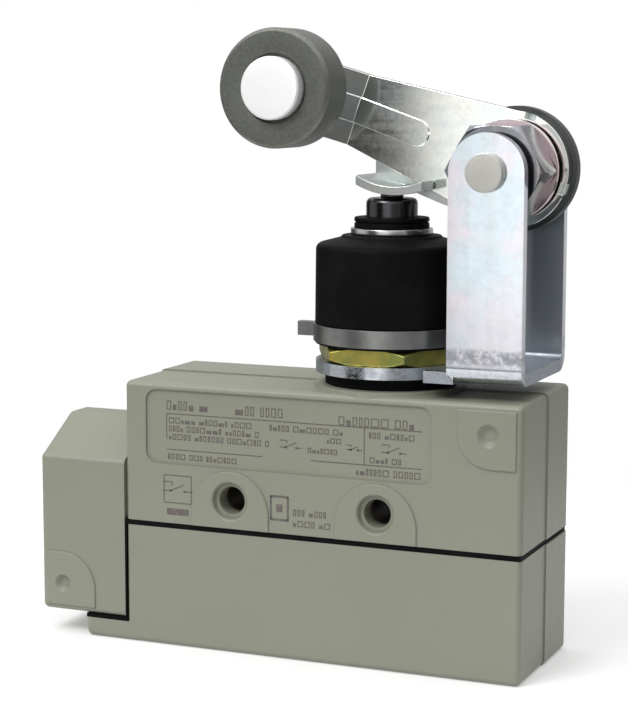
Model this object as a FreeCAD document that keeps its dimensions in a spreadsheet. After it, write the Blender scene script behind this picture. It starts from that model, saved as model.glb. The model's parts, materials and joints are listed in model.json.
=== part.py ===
"""Roller-lever limit switch: a parametric FreeCAD document, one sub-part per node.

Frame: millimetres, +Z up, +X towards the end opposite the conduit, +Y into the
mounting surface.  The origin lies midway between the two mounting holes, on the
plane of the rear mounting pads, so the whole case lies at negative Y.
"""
import FreeCAD, Part
import math
import os

import Sketcher

Vector = FreeCAD.Vector
Rotation = FreeCAD.Rotation

DIMENSIONS = {
    # Die-cast case and cover
    "hole_pitch": 25.4, "hole_radius": 2.3, "counterbore_radius": 3.05, "counterbore_depth": 1.1,
    "face_depth": 25.0, "pad_rise": 0.3, "half_step": 0.25, "corner_round": 1.0,
    "case_left": -31.9, "case_right": 36.7, "case_top": 18.82, "cover_bottom": -25.4,
    "seam_top": -4.55, "gasket_thick": 0.9, "gasket_inset": 0.12, "side_gasket": 0.3,
    "wall": 2.4, "front_wall": 3.3, "roof_wall": 2.5, "floor_wall": 2.5,
    "block_length": 16.36, "block_floor": -21.5, "tongue_length": 7.9, "tongue_top": -22.18,
    "ridge_height": 11.15, "eave_height": 5.06, "ridge_width": 4.8,
    "panel_left": -28.0, "panel_right": 22.0, "panel_low": 5.3, "panel_high": 17.7,
    "panel_depth": 0.35, "panel_corner": 2.0,
    "arch_radius": 6.9, "arch_drop": 2.0,
    "top_pad_left": 26.1, "top_pad_low": 8.6, "top_pad_round": 5.5,
    "end_pad_right": -37.9, "end_pad_high": -11.3, "end_pad_round": 6.0,
    "pad_edge": 0.18, "counterbore_edge": 0.25, "parting_shift": 0.5,
    "dimple_radius": 1.9, "dimple_depth": 0.8, "dimple_across": 5.15, "dimple_up": 5.26,
    "end_dimple_radius": 1.5, "end_dimple_across": 6.1, "end_dimple_down": 5.4,
    "conduit_radius": 9.32, "conduit_length": 12.0, "conduit_height": -2.0, "passage_radius": 8.2,
    "post_radius": 3.3, "post_inset": 3.7, "post_depth": 1.3, "post_top": 10.0,
    "post_sink": 0.5, "mouth_sill": 4.0,
    "screw_radius": 1.75, "screw_bite": 6.0, "screw_clear": 2.1,
    "screw_head_radius": 3.0, "screw_head_height": 1.9, "screw_recess_radius": 3.15,
    "screw_recess": 2.1, "thread_clear": 0.02, "slot_half": 0.4, "slot_share": 0.6, "slot_depth": 1.1,
    "shank_start": 0.2,
    "earth_place": 29.3, "earth_boss_radius": 3.9, "earth_boss_low": -0.5, "earth_bite": 7.0,
    "earth_radius": 2.0, "earth_head_radius": 3.4, "earth_head": 2.2, "earth_washer": 0.8,
    # Neck, boot and plunger on the actuator axis
    "axis_place": 10.4, "ring_radius": 12.4, "ring_top": 19.4,
    "neck_radius": 9.5, "neck_low": 16.3, "collar_radius": 10.8, "collar_low": 26.25,
    "collar_high": 31.0, "tower_radius": 9.9, "tower_top": 36.5, "tower_chamfer": 1.0,
    "guide_radius": 4.2, "guide_low": 30.0, "spring_room_radius": 7.2,
    "neck_boss_low": 15.4, "seal_radius": 10.67, "plate_low": 21.34, "plate_thick": 1.9,
    "nut_flats": 21.9, "nut_low": 23.26, "nut_high": 25.84, "nut_round": 12.35, "nut_bevel": 1.0,
    "band_low": 26.28, "band_high": 29.09, "band_radius": 12.62, "band_thick": 0.6,
    "ear_length": 3.6, "ear_root": 0.4, "ear_thick": 1.5, "ear_lift": 0.05, "ear_height": 2.4,
    "boot_low": 25.9, "boot_radius": 12.33, "boot_top_radius": 12.2, "boot_shoulder": 41.9,
    "boot_wall": 1.25, "boot_hem": 0.3, "shoulder_drop": 0.9, "shoulder_in": 0.3, "shoulder_low": 0.1,
    "cone_low_radius": 11.4, "cone_low": 42.45,
    "cone_high_radius": 7.0, "cone_high": 43.35,
    "boot_neck_radius": 5.5, "clip_low": 43.5, "clip_high": 44.45, "clip_radius": 6.63,
    "bead_radius": 6.05, "bead_high": 46.2, "groove_place": 0.9, "groove_half": 0.15, "groove_depth": 0.25,
    "boot_step": 0.05,
    "plunger_radius": 4.15, "plunger_top": 49.3, "plunger_round": 0.9, "flange_radius": 6.6,
    "flange_thick": 2.0, "flange_gap": 0.05, "plunger_bore": 2.7, "plunger_bore_top": 44.0,
    "tip_radius": 1.85, "tip_top": 49.85, "soft_gap": 0.06, "head_overlap": 0.5,
    "seat_thick": 1.0, "seat_bore": 2.5,
    "pusher_stem": 2.0, "pusher_head": 2.5, "pusher_head_low": 30.5, "pusher_head_high": 34.0,
    "return_wire": 0.9, "return_coil": 5.7, "over_wire": 0.6, "over_coil": 2.0,
    # Snap-action switch inside the case
    "switch_length": 49.2, "switch_width": 17.45, "switch_low": -5.0, "switch_split": 8.5,
    "switch_high": 15.1, "switch_wall": 2.2, "chamber_low": 3.6, "chamber_high": 13.3,
    "switch_hole": 2.18, "pin_radius": 1.5, "pin_low": 9.0, "pin_top": 15.9,
    "pin_flange_radius": 2.4, "pin_flange_low": 11.6, "pin_flange_high": 12.9, "pin_clear": 0.06,
    "terminal_pitch": 18.6, "terminal_size": 7.2, "terminal_thick": 0.9, "leg_width": 6.0,
    "leg_offset": 2.8, "strip_thick": 0.8, "contact_place": -15.5, "contact_radius": 1.5,
    "open_strip": 5.4, "open_face": 7.0, "closed_strip": 10.1, "closed_face": 9.3,
    "blade_low": 8.25, "blade_thick": 0.3, "blade_width": 5.0, "blade_pivot": 18.6,
    "moving_low": 7.55, "moving_high": 9.25, "anchor_high": 8.0, "anchor_reach": 2.0,
    "window_near": 5.0, "window_far": 4.0, "window_half": 1.0,
    "terminal_washer_radius": 3.4, "terminal_washer": 0.8, "terminal_head_radius": 3.1,
    "terminal_head": 2.2, "terminal_shank": 5.0, "terminal_room": 0.5,
    # Bracket, levers and roller about the lever pivot
    "pivot_place": 30.05, "pivot_height": 54.06, "bracket_width": 24.0, "sheet": 1.9,
    "bracket_round": 6.05, "bend_radius": 3.0, "plate_inset": 0.475,
    "plate_left": 20.1, "plate_radius": 12.19,
    "pivot_radius": 3.0, "pivot_front": -26.3, "pivot_rear": -0.1, "pivot_edge": 0.25,
    "running_gap": 0.04,
    "hub_radius": 4.0, "hub_front": -22.4, "hub_flange_radius": 7.0, "hub_flange_front": -7.5,
    "hub_rear": -2.9, "pivot_nut_flats": 14.0, "pivot_nut_front": -21.3, "pivot_nut_round": 8.0,
    "washer_front": -14.1, "washer_radius": 8.0, "lock_front": -12.9, "lock_radius": 7.0,
    "lock_rear": -11.75, "split_half": 0.6, "arm_front": -11.7, "arm_thick": 2.0, "arm_angle": 19.3,
    "arm_hub_radius": 9.2, "arm_half_width": 5.9, "arm_bend": 27.6, "arm_ramp": 6.0,
    "arm_joggle": 3.0, "arm_reach": 38.1, "rib_half_width": 2.1, "rib_start": 14.7,
    "rib_end": 31.0, "rib_rise": 0.5, "notch_width": 1.8, "notch_depth": 1.0,
    "disc_radius": 9.94, "disc_front": -9.6, "disc_thick": 2.1,
    "foot_left": 6.0, "foot_right": 17.2, "foot_front": -17.7, "foot_low": 49.9,
    "foot_centre": 12.4, "foot_curve": 13.6, "foot_thick": 1.3, "foot_relief": 11.4,
    "foot_relief_front": -12.4, "foot_room": 4.0,
    "web_high_across": 6.0, "web_high": 5.0, "web_edge": 0.3, "web_shoulder": 2.0, "web_low": 1.6,
    "web_toe": 3.0, "web_toe_rise": 0.7, "web_sole_rise": 0.4, "web_heel": 6.0, "web_heel_drop": 1.5,
    "roller_radius": 9.525, "roller_front": -23.2, "roller_width": 8.0, "roller_chamfer": 0.5,
    "recess_edge": 0.4,
    "roller_recess_radius": 5.5, "roller_recess": 1.0, "axle_radius": 3.0,
    "axle_head_radius": 5.0, "axle_front": -24.9, "axle_tail_radius": 2.5,
    "axle_rivet_radius": 3.8, "axle_rivet": 1.0, "axle_edge": 0.3, "rivet_taper": 1.0,
}

document = FreeCAD.newDocument("LimitSwitch")
sheet = document.addObject("Spreadsheet::Sheet", "Sizes")


class Size:
    """A length read or worked out from the sheet: its expression and its present value."""

    def __init__(self, text, value):
        self.text = text
        self.value = value

    def joined(self, other, sign, value):
        return Size("(%s %s %s)" % (self.text, sign, other.text), value)

    def __add__(self, other):
        other = as_size(other)
        return self.joined(other, "+", self.value + other.value)

    def __radd__(self, other):
        return as_size(other) + self

    def __sub__(self, other):
        other = as_size(other)
        return self.joined(other, "-", self.value - other.value)

    def __rsub__(self, other):
        return as_size(other) - self

    def __mul__(self, other):
        other = as_size(other)
        return self.joined(other, "*", self.value * other.value)

    def __rmul__(self, other):
        return as_size(other) * self

    def __truediv__(self, other):
        other = as_size(other)
        return self.joined(other, "/", self.value / other.value)

    def __neg__(self):
        return 0 - self


def as_size(value):
    """A plain number as a Size; a Size as it is."""
    if isinstance(value, Size):
        return value
    return Size("(%r)" % float(value), float(value))


class Sheet:
    """Gives each named dimension of the sheet as a Size."""

    def __getattr__(self, name):
        return Size("Sizes." + name, DIMENSIONS[name])


def fill_sheet():
    """Writes every dimension to the sheet under its alias."""
    for row, (name, value) in enumerate(DIMENSIONS.items(), start=1):
        sheet.set("A%d" % row, name)
        sheet.set("B%d" % row, str(value))
        sheet.setAlias("B%d" % row, name)
    document.recompute()


fill_sheet()
d = Sheet()

# Places used by more than one sub-part
FRONT = -d.face_depth - d.pad_rise
REAR = -d.pad_rise
MIDDLE = (FRONT + REAR) / 2
PARTING = MIDDLE + d.parting_shift
SEAM_LOW = d.seam_top - d.gasket_thick
BLOCK_LEFT = d.case_left - d.block_length
BLOCK_RIGHT = d.case_left - d.side_gasket
ROOM_LEFT = d.case_left + d.wall
ROOM_RIGHT = d.case_right - d.wall
ROOM_FRONT = FRONT + d.front_wall
ROOM_REAR = REAR - d.front_wall
ROOM_TOP = d.case_top - d.roof_wall
SWITCH_FRONT = MIDDLE - d.switch_width / 2
SWITCH_REAR = MIDDLE + d.switch_width / 2
BRACKET_FRONT = MIDDLE - d.bracket_width / 2
BRACKET_REAR = MIDDLE + d.bracket_width / 2
FLANGE_LOW = d.guide_low - d.flange_gap - d.flange_thick
ARM_REAR = d.arm_front + d.arm_thick
TIP_REAR = ARM_REAR - d.arm_joggle
POST_X = (d.case_left + d.post_inset, d.case_right - d.post_inset)
POST_Y = (ROOM_FRONT + d.post_depth, ROOM_REAR - d.post_depth)
HOLE_X = (-d.hole_pitch / 2, d.hole_pitch / 2)
TERMINAL_X = (-d.terminal_pitch, as_size(0), d.terminal_pitch)
OVERCUT = 1.0

TURN = {
    "Z": Rotation(),
    "Y": Rotation(Vector(1, 0, 0), -90),
    "X": Rotation(Vector(0, 1, 0), 90),
}


def bind(feature, **sizes):
    """Ties each named property of the feature to the sheet."""
    for name, size in sizes.items():
        feature.setExpression(name.replace("_dot_", "."), as_size(size).text)


def place(feature, x=0, y=0, z=0, rotation=None):
    """Sets the feature's rotation and ties its position to the sheet."""
    feature.Placement = FreeCAD.Placement(Vector(), rotation or Rotation())
    for axis, size in (("x", x), ("y", y), ("z", z)):
        feature.setExpression("Placement.Base." + axis, as_size(size).text)
    return feature


def new(kind, label):
    """Adds an object of the kind and labels it."""
    feature = document.addObject(kind, label)
    feature.Label = label
    return feature


def box(label, x, y, z):
    """A block from its lowest to its highest X, Y and Z."""
    feature = new("Part::Box", label)
    x, y, z = ([as_size(end) for end in span] for span in (x, y, z))
    bind(feature, Length=x[1] - x[0], Width=y[1] - y[0], Height=z[1] - z[0])
    return place(feature, x[0], y[0], z[0])


def rod(label, radius, centre, axis, span):
    """A cylinder along an axis, about a centre line given by its two other places."""
    feature = new("Part::Cylinder", label)
    low, high = as_size(span[0]), as_size(span[1])
    bind(feature, Radius=radius, Height=high - low)
    place_of = {"X": (low, *centre), "Y": (centre[0], low, centre[-1]), "Z": (*centre, low)}[axis]
    return place(feature, *place_of, rotation=TURN[axis])


def cone(label, radius_low, radius_high, centre, axis, span):
    """A cone along an axis."""
    feature = new("Part::Cone", label)
    low, high = as_size(span[0]), as_size(span[1])
    bind(feature, Radius1=radius_low, Radius2=radius_high, Height=high - low)
    place_of = {"X": (low, *centre), "Y": (centre[0], low, centre[-1]), "Z": (*centre, low)}[axis]
    return place(feature, *place_of, rotation=TURN[axis])


def joined(label, pieces):
    """The union of the pieces."""
    feature = new("Part::MultiFuse", label)
    feature.Shapes = list(pieces)
    feature.Refine = True
    return feature


def less(label, base, tools):
    """The base with the tools cut away."""
    tools = list(tools)
    feature = new("Part::Cut", label)
    feature.Base = base
    feature.Tool = tools[0] if len(tools) == 1 else joined(label + "_tools", tools)
    feature.Refine = True
    return feature


def shared(label, first, second):
    """What the two pieces have in common."""
    feature = new("Part::MultiCommon", label)
    feature.Shapes = [first, second]
    feature.Refine = True
    return feature


def group(label, pieces):
    """Several separate solids kept together as one sub-part."""
    feature = new("Part::Compound", label)
    feature.Links = list(pieces)
    return feature


def rounded(label, source, radius, wanted, kinds=("Part::GeomLine",)):
    """The source with the wanted edges rounded; wanted tells them by their middle and direction."""
    document.recompute()
    chosen = []
    for number, edge in enumerate(source.Shape.Edges, start=1):
        if edge.Curve.TypeId in kinds and wanted(edge.CenterOfMass, edge.tangentAt(0)):
            chosen.append((number, radius.value, radius.value))
    feature = new("Part::Fillet", label)
    feature.Base = source
    feature.Edges = chosen
    return feature


def origin_plane(body, role):
    """One of the body's own origin planes."""
    for feature in body.Origin.OriginFeatures:
        if feature.Role == role:
            return feature
    raise RuntimeError("no plane " + role)


def outline(body, role, points):
    """A closed sketch of straight lines on one of the body's planes; every corner is tied to the sheet."""
    sketch = body.newObject("Sketcher::SketchObject", body.Label + "_outline")
    sketch.AttachmentSupport = [(origin_plane(body, role), "")]
    sketch.MapMode = "FlatFace"
    points = [(as_size(across), as_size(up)) for across, up in points]
    count = len(points)
    for index, (across, up) in enumerate(points):
        after = points[(index + 1) % count]
        start = Vector(across.value, up.value, 0)
        end = Vector(after[0].value, after[1].value, 0)
        sketch.addGeometry(Part.LineSegment(start, end), False)
    for index in range(count):
        sketch.addConstraint(Sketcher.Constraint("Coincident", index, 2, (index + 1) % count, 1))
    for index, (across, up) in enumerate(points):
        for kind, size in (("DistanceX", across), ("DistanceY", up)):
            number = sketch.addConstraint(Sketcher.Constraint(kind, -1, 1, index, 1, size.value))
            sketch.setExpression("Constraints[%d]" % number, size.text)
    return sketch


def turned(label, points, x, y, axis="Z"):
    """A body of revolution from (radius, place along the axis) corners.

    About Z the axis stands at (x, y).  About Y the axis runs through (x, height).
    """
    body = new("PartDesign::Body", label)
    sketch = outline(body, "XZ_Plane", points)
    feature = body.newObject("PartDesign::Revolution", label + "_turn")
    feature.Profile = sketch
    feature.ReferenceAxis = (sketch, ["V_Axis"])
    feature.Angle = 360
    if axis == "Z":
        return place(body, x, y, 0)
    return place(body, x, 0, y, rotation=TURN["Y"])


def extruded(label, role, points, start, length, rotation=None, centre=(0, 0)):
    """A body pushed out of an outline: XZ outlines grow along +Y, YZ along +X, XY along +Z."""
    body = new("PartDesign::Body", label)
    sketch = outline(body, role, points)
    feature = body.newObject("PartDesign::Pad", label + "_pad")
    feature.Profile = sketch
    bind(feature, Length=length)
    feature.Reversed = role == "XZ_Plane"
    where = {"XZ_Plane": (centre[0], start, centre[1]), "YZ_Plane": (start, *centre),
             "XY_Plane": (*centre, start)}[role]
    return place(body, *where, rotation=rotation)


def hexagon(label, flats, round_radius, bore, centre, axis, span):
    """A hexagon nut with rounded-off corners at both faces."""
    low, high = as_size(span[0]), as_size(span[1])
    prism = new("Part::Prism", label + "_prism")
    prism.Polygon = 6
    bind(prism, Circumradius=flats / (2 * math.cos(math.pi / 6)), Height=high - low)
    place_of = {"Y": (centre[0], low, centre[-1]), "Z": (*centre, low)}[axis]
    place(prism, *place_of, rotation=TURN[axis])
    middle = (low + high) / 2
    spread = (high - low) * math.tan(math.pi / 3) / 2
    edge = round_radius - d.nut_bevel
    barrel_low = cone(label + "_low", edge, edge + spread, centre, axis, (low, middle))
    barrel_high = cone(label + "_high", edge + spread, edge, centre, axis,
                       (middle, high))
    barrel = joined(label + "_barrel", [barrel_low, barrel_high])
    crown = shared(label + "_crown", prism, barrel)
    hole = rod(label + "_bore", bore, centre, axis, (low - OVERCUT, high + OVERCUT))
    return less(label, crown, [hole])


def ring(label, outer, inner, centre, axis, span):
    """A flat ring or tube."""
    low, high = as_size(span[0]), as_size(span[1])
    body = rod(label + "_disc", outer, centre, axis, (low, high))
    hole = rod(label + "_bore", inner, centre, axis, (low - OVERCUT, high + OVERCUT))
    return less(label, body, [hole])


def screw(label, shank, head, centre, head_low, head_high, tip):
    """A pan-head screw that points up, with a cross slot in its head."""
    shaft = rod(label + "_shaft", shank, centre, "Z", (head_low + d.shank_start, tip))
    cap = rod(label + "_cap", head, centre, "Z", (head_low, head_high))
    slots = []
    slot_reach = head * d.slot_share
    slot_span = (head_low - OVERCUT, head_low + d.slot_depth)
    for name, x_half, y_half in (("a", slot_reach, d.slot_half), ("b", d.slot_half, slot_reach)):
        x_span = (centre[0] - x_half, centre[0] + x_half)
        y_span = (centre[1] - y_half, centre[1] + y_half)
        slots.append(box(label + "_slot_" + name, x_span, y_span, slot_span))
    return less(label, joined(label + "_blank", [cap, shaft]), slots)


def spring(label, wire, coil, centre, span, turns):
    """A round-wire compression spring."""
    low, high = as_size(span[0]) + wire, as_size(span[1]) - wire
    body = new("PartDesign::Body", label)
    sketch = body.newObject("Sketcher::SketchObject", label + "_wire")
    sketch.AttachmentSupport = [(origin_plane(body, "XZ_Plane"), "")]
    sketch.MapMode = "FlatFace"
    sketch.addGeometry(Part.Circle(Vector(coil.value, 0, 0), Vector(0, 0, 1), wire.value / 2), False)
    bound = (("Radius", (0,), wire / 2), ("DistanceX", (-1, 1, 0, 3), coil))
    sketch.addConstraint(Sketcher.Constraint("PointOnObject", 0, 3, -1))
    for kind, parts, size in bound:
        number = sketch.addConstraint(Sketcher.Constraint(kind, *parts, size.value))
        sketch.setExpression("Constraints[%d]" % number, size.text)
    helix = body.newObject("PartDesign::AdditiveHelix", label + "_helix")
    helix.Profile = sketch
    helix.ReferenceAxis = (sketch, ["V_Axis"])
    helix.Mode = "height-turns-angle"
    helix.Turns = turns
    bind(helix, Height=high - low)
    return place(body, *centre, low)


AXIS = (d.axis_place, MIDDLE)
PIVOT = (d.pivot_place, d.pivot_height)


def outer_edge(low, high):
    """Tells the outer edges of a half shell from those on the parting plane and the seam."""
    def wanted(middle, direction):
        on_parting = abs(middle.y - PARTING.value) < 0.01
        on_seam = abs(middle.z - d.seam_top.value) < 0.01 or abs(middle.z - SEAM_LOW.value) < 0.01
        return not on_parting and not on_seam
    return wanted


def soft_edge(label, pad, face):
    """The pad with the edges that lie on its outer face rounded."""
    return rounded(label, pad, d.pad_edge, lambda at, way: abs(at.y - as_size(face).value) < 0.01,
                   ("Part::GeomLine", "Part::GeomCircle"))


def face_pads(label, inner, outer):
    """The raised pads of one face: two arches over the mounting holes and two corner pads."""
    span = sorted((as_size(inner), as_size(outer)), key=lambda size: size.value)
    pads = []
    for number, x in enumerate(HOLE_X):
        name = "%s_arch_%d" % (label, number)
        centre_z = -d.arch_drop
        head = rod(name, d.arch_radius, (x, centre_z), "Y", span)
        foot = box(name + "_foot", (x - d.arch_radius, x + d.arch_radius), span, (d.seam_top, centre_z))
        room = box(name + "_room", (d.case_left, d.case_right), span, (d.seam_top, d.panel_low))
        arch = shared(name + "_blank", joined(name + "_all", [head, foot]), room)
        pads.append(soft_edge(name + "_soft", arch, outer))
    edge = d.corner_round
    corner = box(label + "_top_pad", (d.top_pad_left, d.case_right - edge), span,
                 (d.top_pad_low, d.case_top - edge))
    end = box(label + "_end_pad", (BLOCK_LEFT + edge, d.end_pad_right), span,
              (d.block_floor + edge, d.end_pad_high))
    top_pad = rounded(label + "_top_round", corner, d.top_pad_round,
                      lambda at, way: abs(way.y) > 0.9 and at.x < d.top_pad_left.value + 0.1
                      and at.z < d.top_pad_low.value + 0.1)
    end_pad = rounded(label + "_end_round", end, d.end_pad_round,
                      lambda at, way: abs(way.y) > 0.9 and at.x > d.end_pad_right.value - 0.1
                      and at.z > d.end_pad_high.value - 0.1)
    pads.append(soft_edge(label + "_top_soft", top_pad, outer))
    pads.append(soft_edge(label + "_end_soft", end_pad, outer))
    return pads


def make_case():
    """The die-cast case: main box with a rear half that stands proud, and the conduit block."""
    wanted = outer_edge(d.seam_top, d.case_top)
    front_half = box("case_front_half", (d.case_left, d.case_right), (FRONT, PARTING),
                     (d.seam_top, d.case_top))
    rear_half = box("case_rear_half", (d.case_left, d.case_right + d.half_step), (PARTING, REAR),
                    (d.seam_top, d.case_top + d.half_step))
    halves = [rounded("case_front_round", front_half, d.corner_round, wanted),
              rounded("case_rear_round", rear_half, d.corner_round, wanted)]
    roof = [(FRONT, d.block_floor), (FRONT, d.eave_height), (MIDDLE - d.ridge_width / 2, d.ridge_height),
            (MIDDLE + d.ridge_width / 2, d.ridge_height), (REAR, d.eave_height), (REAR, d.block_floor)]
    block = extruded("case_block", "YZ_Plane", roof, BLOCK_LEFT, BLOCK_RIGHT - BLOCK_LEFT)
    block_round = rounded("case_block_round", block, d.corner_round,
                          lambda at, way: at.x < BLOCK_RIGHT.value - 0.1)
    bridge_roof = [(FRONT + d.corner_round, d.seam_top)] + roof_bridge_inner()
    bridge = extruded("case_bridge", "YZ_Plane", bridge_roof, BLOCK_RIGHT - OVERCUT,
                      d.side_gasket + OVERCUT + d.corner_round * 2)
    ring_boss = rod("case_ring", d.ring_radius, AXIS, "Z", (d.case_top - OVERCUT, d.ring_top))
    pads = face_pads("case_front", FRONT, FRONT - d.pad_rise)
    pads += face_pads("case_rear", REAR, 0)
    shell = joined("case_outside", halves + [block_round, bridge, ring_boss] + pads)
    room = box("case_room", (ROOM_LEFT, ROOM_RIGHT), (ROOM_FRONT, ROOM_REAR),
               (d.seam_top - OVERCUT, ROOM_TOP))
    panel = box("case_panel_block", (d.panel_left, d.panel_right), (FRONT - OVERCUT, FRONT + d.panel_depth),
                (d.panel_low, d.panel_high))
    panel_round = rounded("case_panel", panel, d.panel_corner, lambda at, way: abs(way.y) > 0.9)
    conduit = rod("case_conduit", d.conduit_radius, (MIDDLE, d.conduit_height), "X",
                  (BLOCK_LEFT - OVERCUT, BLOCK_LEFT + d.conduit_length))
    passage = rod("case_passage", d.passage_radius, (MIDDLE, d.conduit_height), "X",
                  (BLOCK_LEFT, ROOM_LEFT + OVERCUT))
    hollow = less("case_hollow", shell, [room, panel_round, conduit, passage])
    inside = []
    for number, x in enumerate(HOLE_X):
        inside.append(rod("case_hole_boss_f%d" % number, d.hole_radius * 2, (x, as_size(0)), "Y",
                          (ROOM_FRONT - OVERCUT, SWITCH_FRONT)))
        inside.append(rod("case_hole_boss_r%d" % number, d.hole_radius * 2, (x, as_size(0)), "Y",
                          (SWITCH_REAR, ROOM_REAR + OVERCUT)))
    for number, (x, y) in enumerate(post_places()):
        inside.append(rod("case_post_%d" % number, d.post_radius, (x, y), "Z", (d.seam_top, d.post_top)))
    neck_boss = rod("case_neck_boss_rod", d.ring_radius, AXIS, "Z", (d.neck_boss_low, ROOM_TOP + OVERCUT))
    neck_room = box("case_neck_room", (ROOM_LEFT, ROOM_RIGHT), (ROOM_FRONT - OVERCUT, ROOM_REAR + OVERCUT),
                    (d.neck_boss_low, ROOM_TOP + OVERCUT))
    inside.append(shared("case_neck_boss", neck_boss, neck_room))
    inside.append(rod("case_earth_boss", d.earth_boss_radius, (d.earth_place, MIDDLE), "Z",
                      (d.earth_boss_low, ROOM_TOP + OVERCUT)))
    body = joined("case_body", [hollow] + inside)
    holes = []
    for number, x in enumerate(HOLE_X):
        hole_axis = (x, as_size(0))
        face = FRONT - d.pad_rise
        holes.append(rod("case_hole_%d" % number, d.hole_radius, hole_axis, "Y", (face - OVERCUT, OVERCUT)))
        holes.append(rod("case_counterbore_%d" % number, d.counterbore_radius, hole_axis, "Y",
                         (face - OVERCUT, face + d.counterbore_depth)))
        holes.append(cone("case_hole_edge_%d" % number, d.counterbore_radius + d.counterbore_edge,
                          d.counterbore_radius, hole_axis, "Y", (face, face + d.counterbore_edge)))
    for number, (x, y) in enumerate(post_places()):
        holes.append(rod("case_post_hole_%d" % number, d.screw_radius + d.thread_clear, (x, y), "Z",
                         (d.seam_top - OVERCUT, d.seam_top + d.screw_bite + OVERCUT)))
    holes.append(rod("case_neck_hole", d.neck_radius + d.thread_clear, AXIS, "Z",
                     (d.neck_boss_low - OVERCUT, d.ring_top + OVERCUT)))
    holes.append(rod("case_earth_hole", d.earth_radius + d.thread_clear, (d.earth_place, MIDDLE), "Z",
                     (d.earth_boss_low - OVERCUT, d.earth_boss_low + d.earth_bite + OVERCUT)))
    holes += dimples("case")
    return less("case", body, holes)


def roof_bridge_inner():
    """The block's roof outline set in from its rounded front and rear edges."""
    inset = d.corner_round
    return [(FRONT + inset, d.eave_height), (MIDDLE - d.ridge_width / 2, d.ridge_height - inset / 2),
            (MIDDLE + d.ridge_width / 2, d.ridge_height - inset / 2), (REAR - inset, d.eave_height),
            (REAR - inset, d.seam_top)]


def dimples(label):
    """Shallow conical dimples in the corner pads of both faces."""
    spots = ((d.top_pad_left + d.dimple_across, d.top_pad_low + d.dimple_up, d.dimple_radius),
             (d.end_pad_right - d.end_dimple_across, d.end_pad_high - d.end_dimple_down, d.end_dimple_radius))
    tools = []
    for number, (x, z, radius) in enumerate(spots):
        face = FRONT - d.pad_rise
        tools.append(cone("%s_dimple_f%d" % (label, number), radius, radius / 2, (x, z), "Y",
                          (face, face + d.dimple_depth)))
        tools.append(cone("%s_dimple_r%d" % (label, number), radius / 2, radius, (x, z), "Y",
                          (-d.dimple_depth, 0)))
    return tools


def post_places():
    """The four cover screws' places."""
    return [(x, y) for x in POST_X for y in POST_Y]


def make_cover():
    """The terminal cover: an open-topped box with a tongue under the conduit block."""
    wanted = outer_edge(d.cover_bottom, SEAM_LOW)
    front_half = box("cover_front_half", (d.case_left, d.case_right), (FRONT, PARTING),
                     (d.cover_bottom, SEAM_LOW))
    rear_half = box("cover_rear_half", (d.case_left, d.case_right + d.half_step), (PARTING, REAR),
                    (d.cover_bottom, SEAM_LOW))

    def round_edge(at, way):
        at_left = at.x < d.case_left.value + 0.01
        return wanted(at, way) and not (at_left and abs(way.z) < 0.1)

    halves = [rounded("cover_front_round", front_half, d.corner_round, round_edge),
              rounded("cover_rear_round", rear_half, d.corner_round, round_edge)]
    tongue = box("cover_tongue_block", (d.case_left - d.tongue_length, d.case_left + 2 * d.corner_round),
                 (FRONT, REAR), (d.cover_bottom, d.tongue_top))
    tongue_round = rounded("cover_tongue", tongue, d.corner_round,
                           lambda at, way: at.z < d.cover_bottom.value + 0.1 or
                           (at.x < d.case_left.value - 1 and abs(way.z) > 0.9))
    outside = joined("cover_outside", halves + [tongue_round])
    floor = d.cover_bottom + d.floor_wall
    room = box("cover_room", (ROOM_LEFT, ROOM_RIGHT), (ROOM_FRONT, ROOM_REAR), (floor, SEAM_LOW + OVERCUT))
    mouth = box("cover_mouth", (d.case_left - OVERCUT, ROOM_LEFT + OVERCUT),
                (ROOM_FRONT + d.post_depth, ROOM_REAR - d.post_depth),
                (floor + d.mouth_sill, SEAM_LOW + OVERCUT))
    hollow = less("cover_hollow", outside, [room, mouth])
    post_span = (d.cover_bottom + d.post_sink, SEAM_LOW)
    posts = [rod("cover_post_%d" % number, d.post_radius, (x, y), "Z", post_span)
             for number, (x, y) in enumerate(post_places())]
    body = joined("cover_body", [hollow] + posts)
    holes = []
    for number, (x, y) in enumerate(post_places()):
        holes.append(rod("cover_hole_%d" % number, d.screw_clear, (x, y), "Z",
                         (d.cover_bottom - OVERCUT, SEAM_LOW + OVERCUT)))
        holes.append(rod("cover_recess_%d" % number, d.screw_recess_radius, (x, y), "Z",
                         (d.cover_bottom - OVERCUT, d.cover_bottom + d.screw_recess)))
    return less("cover", body, holes)


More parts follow.
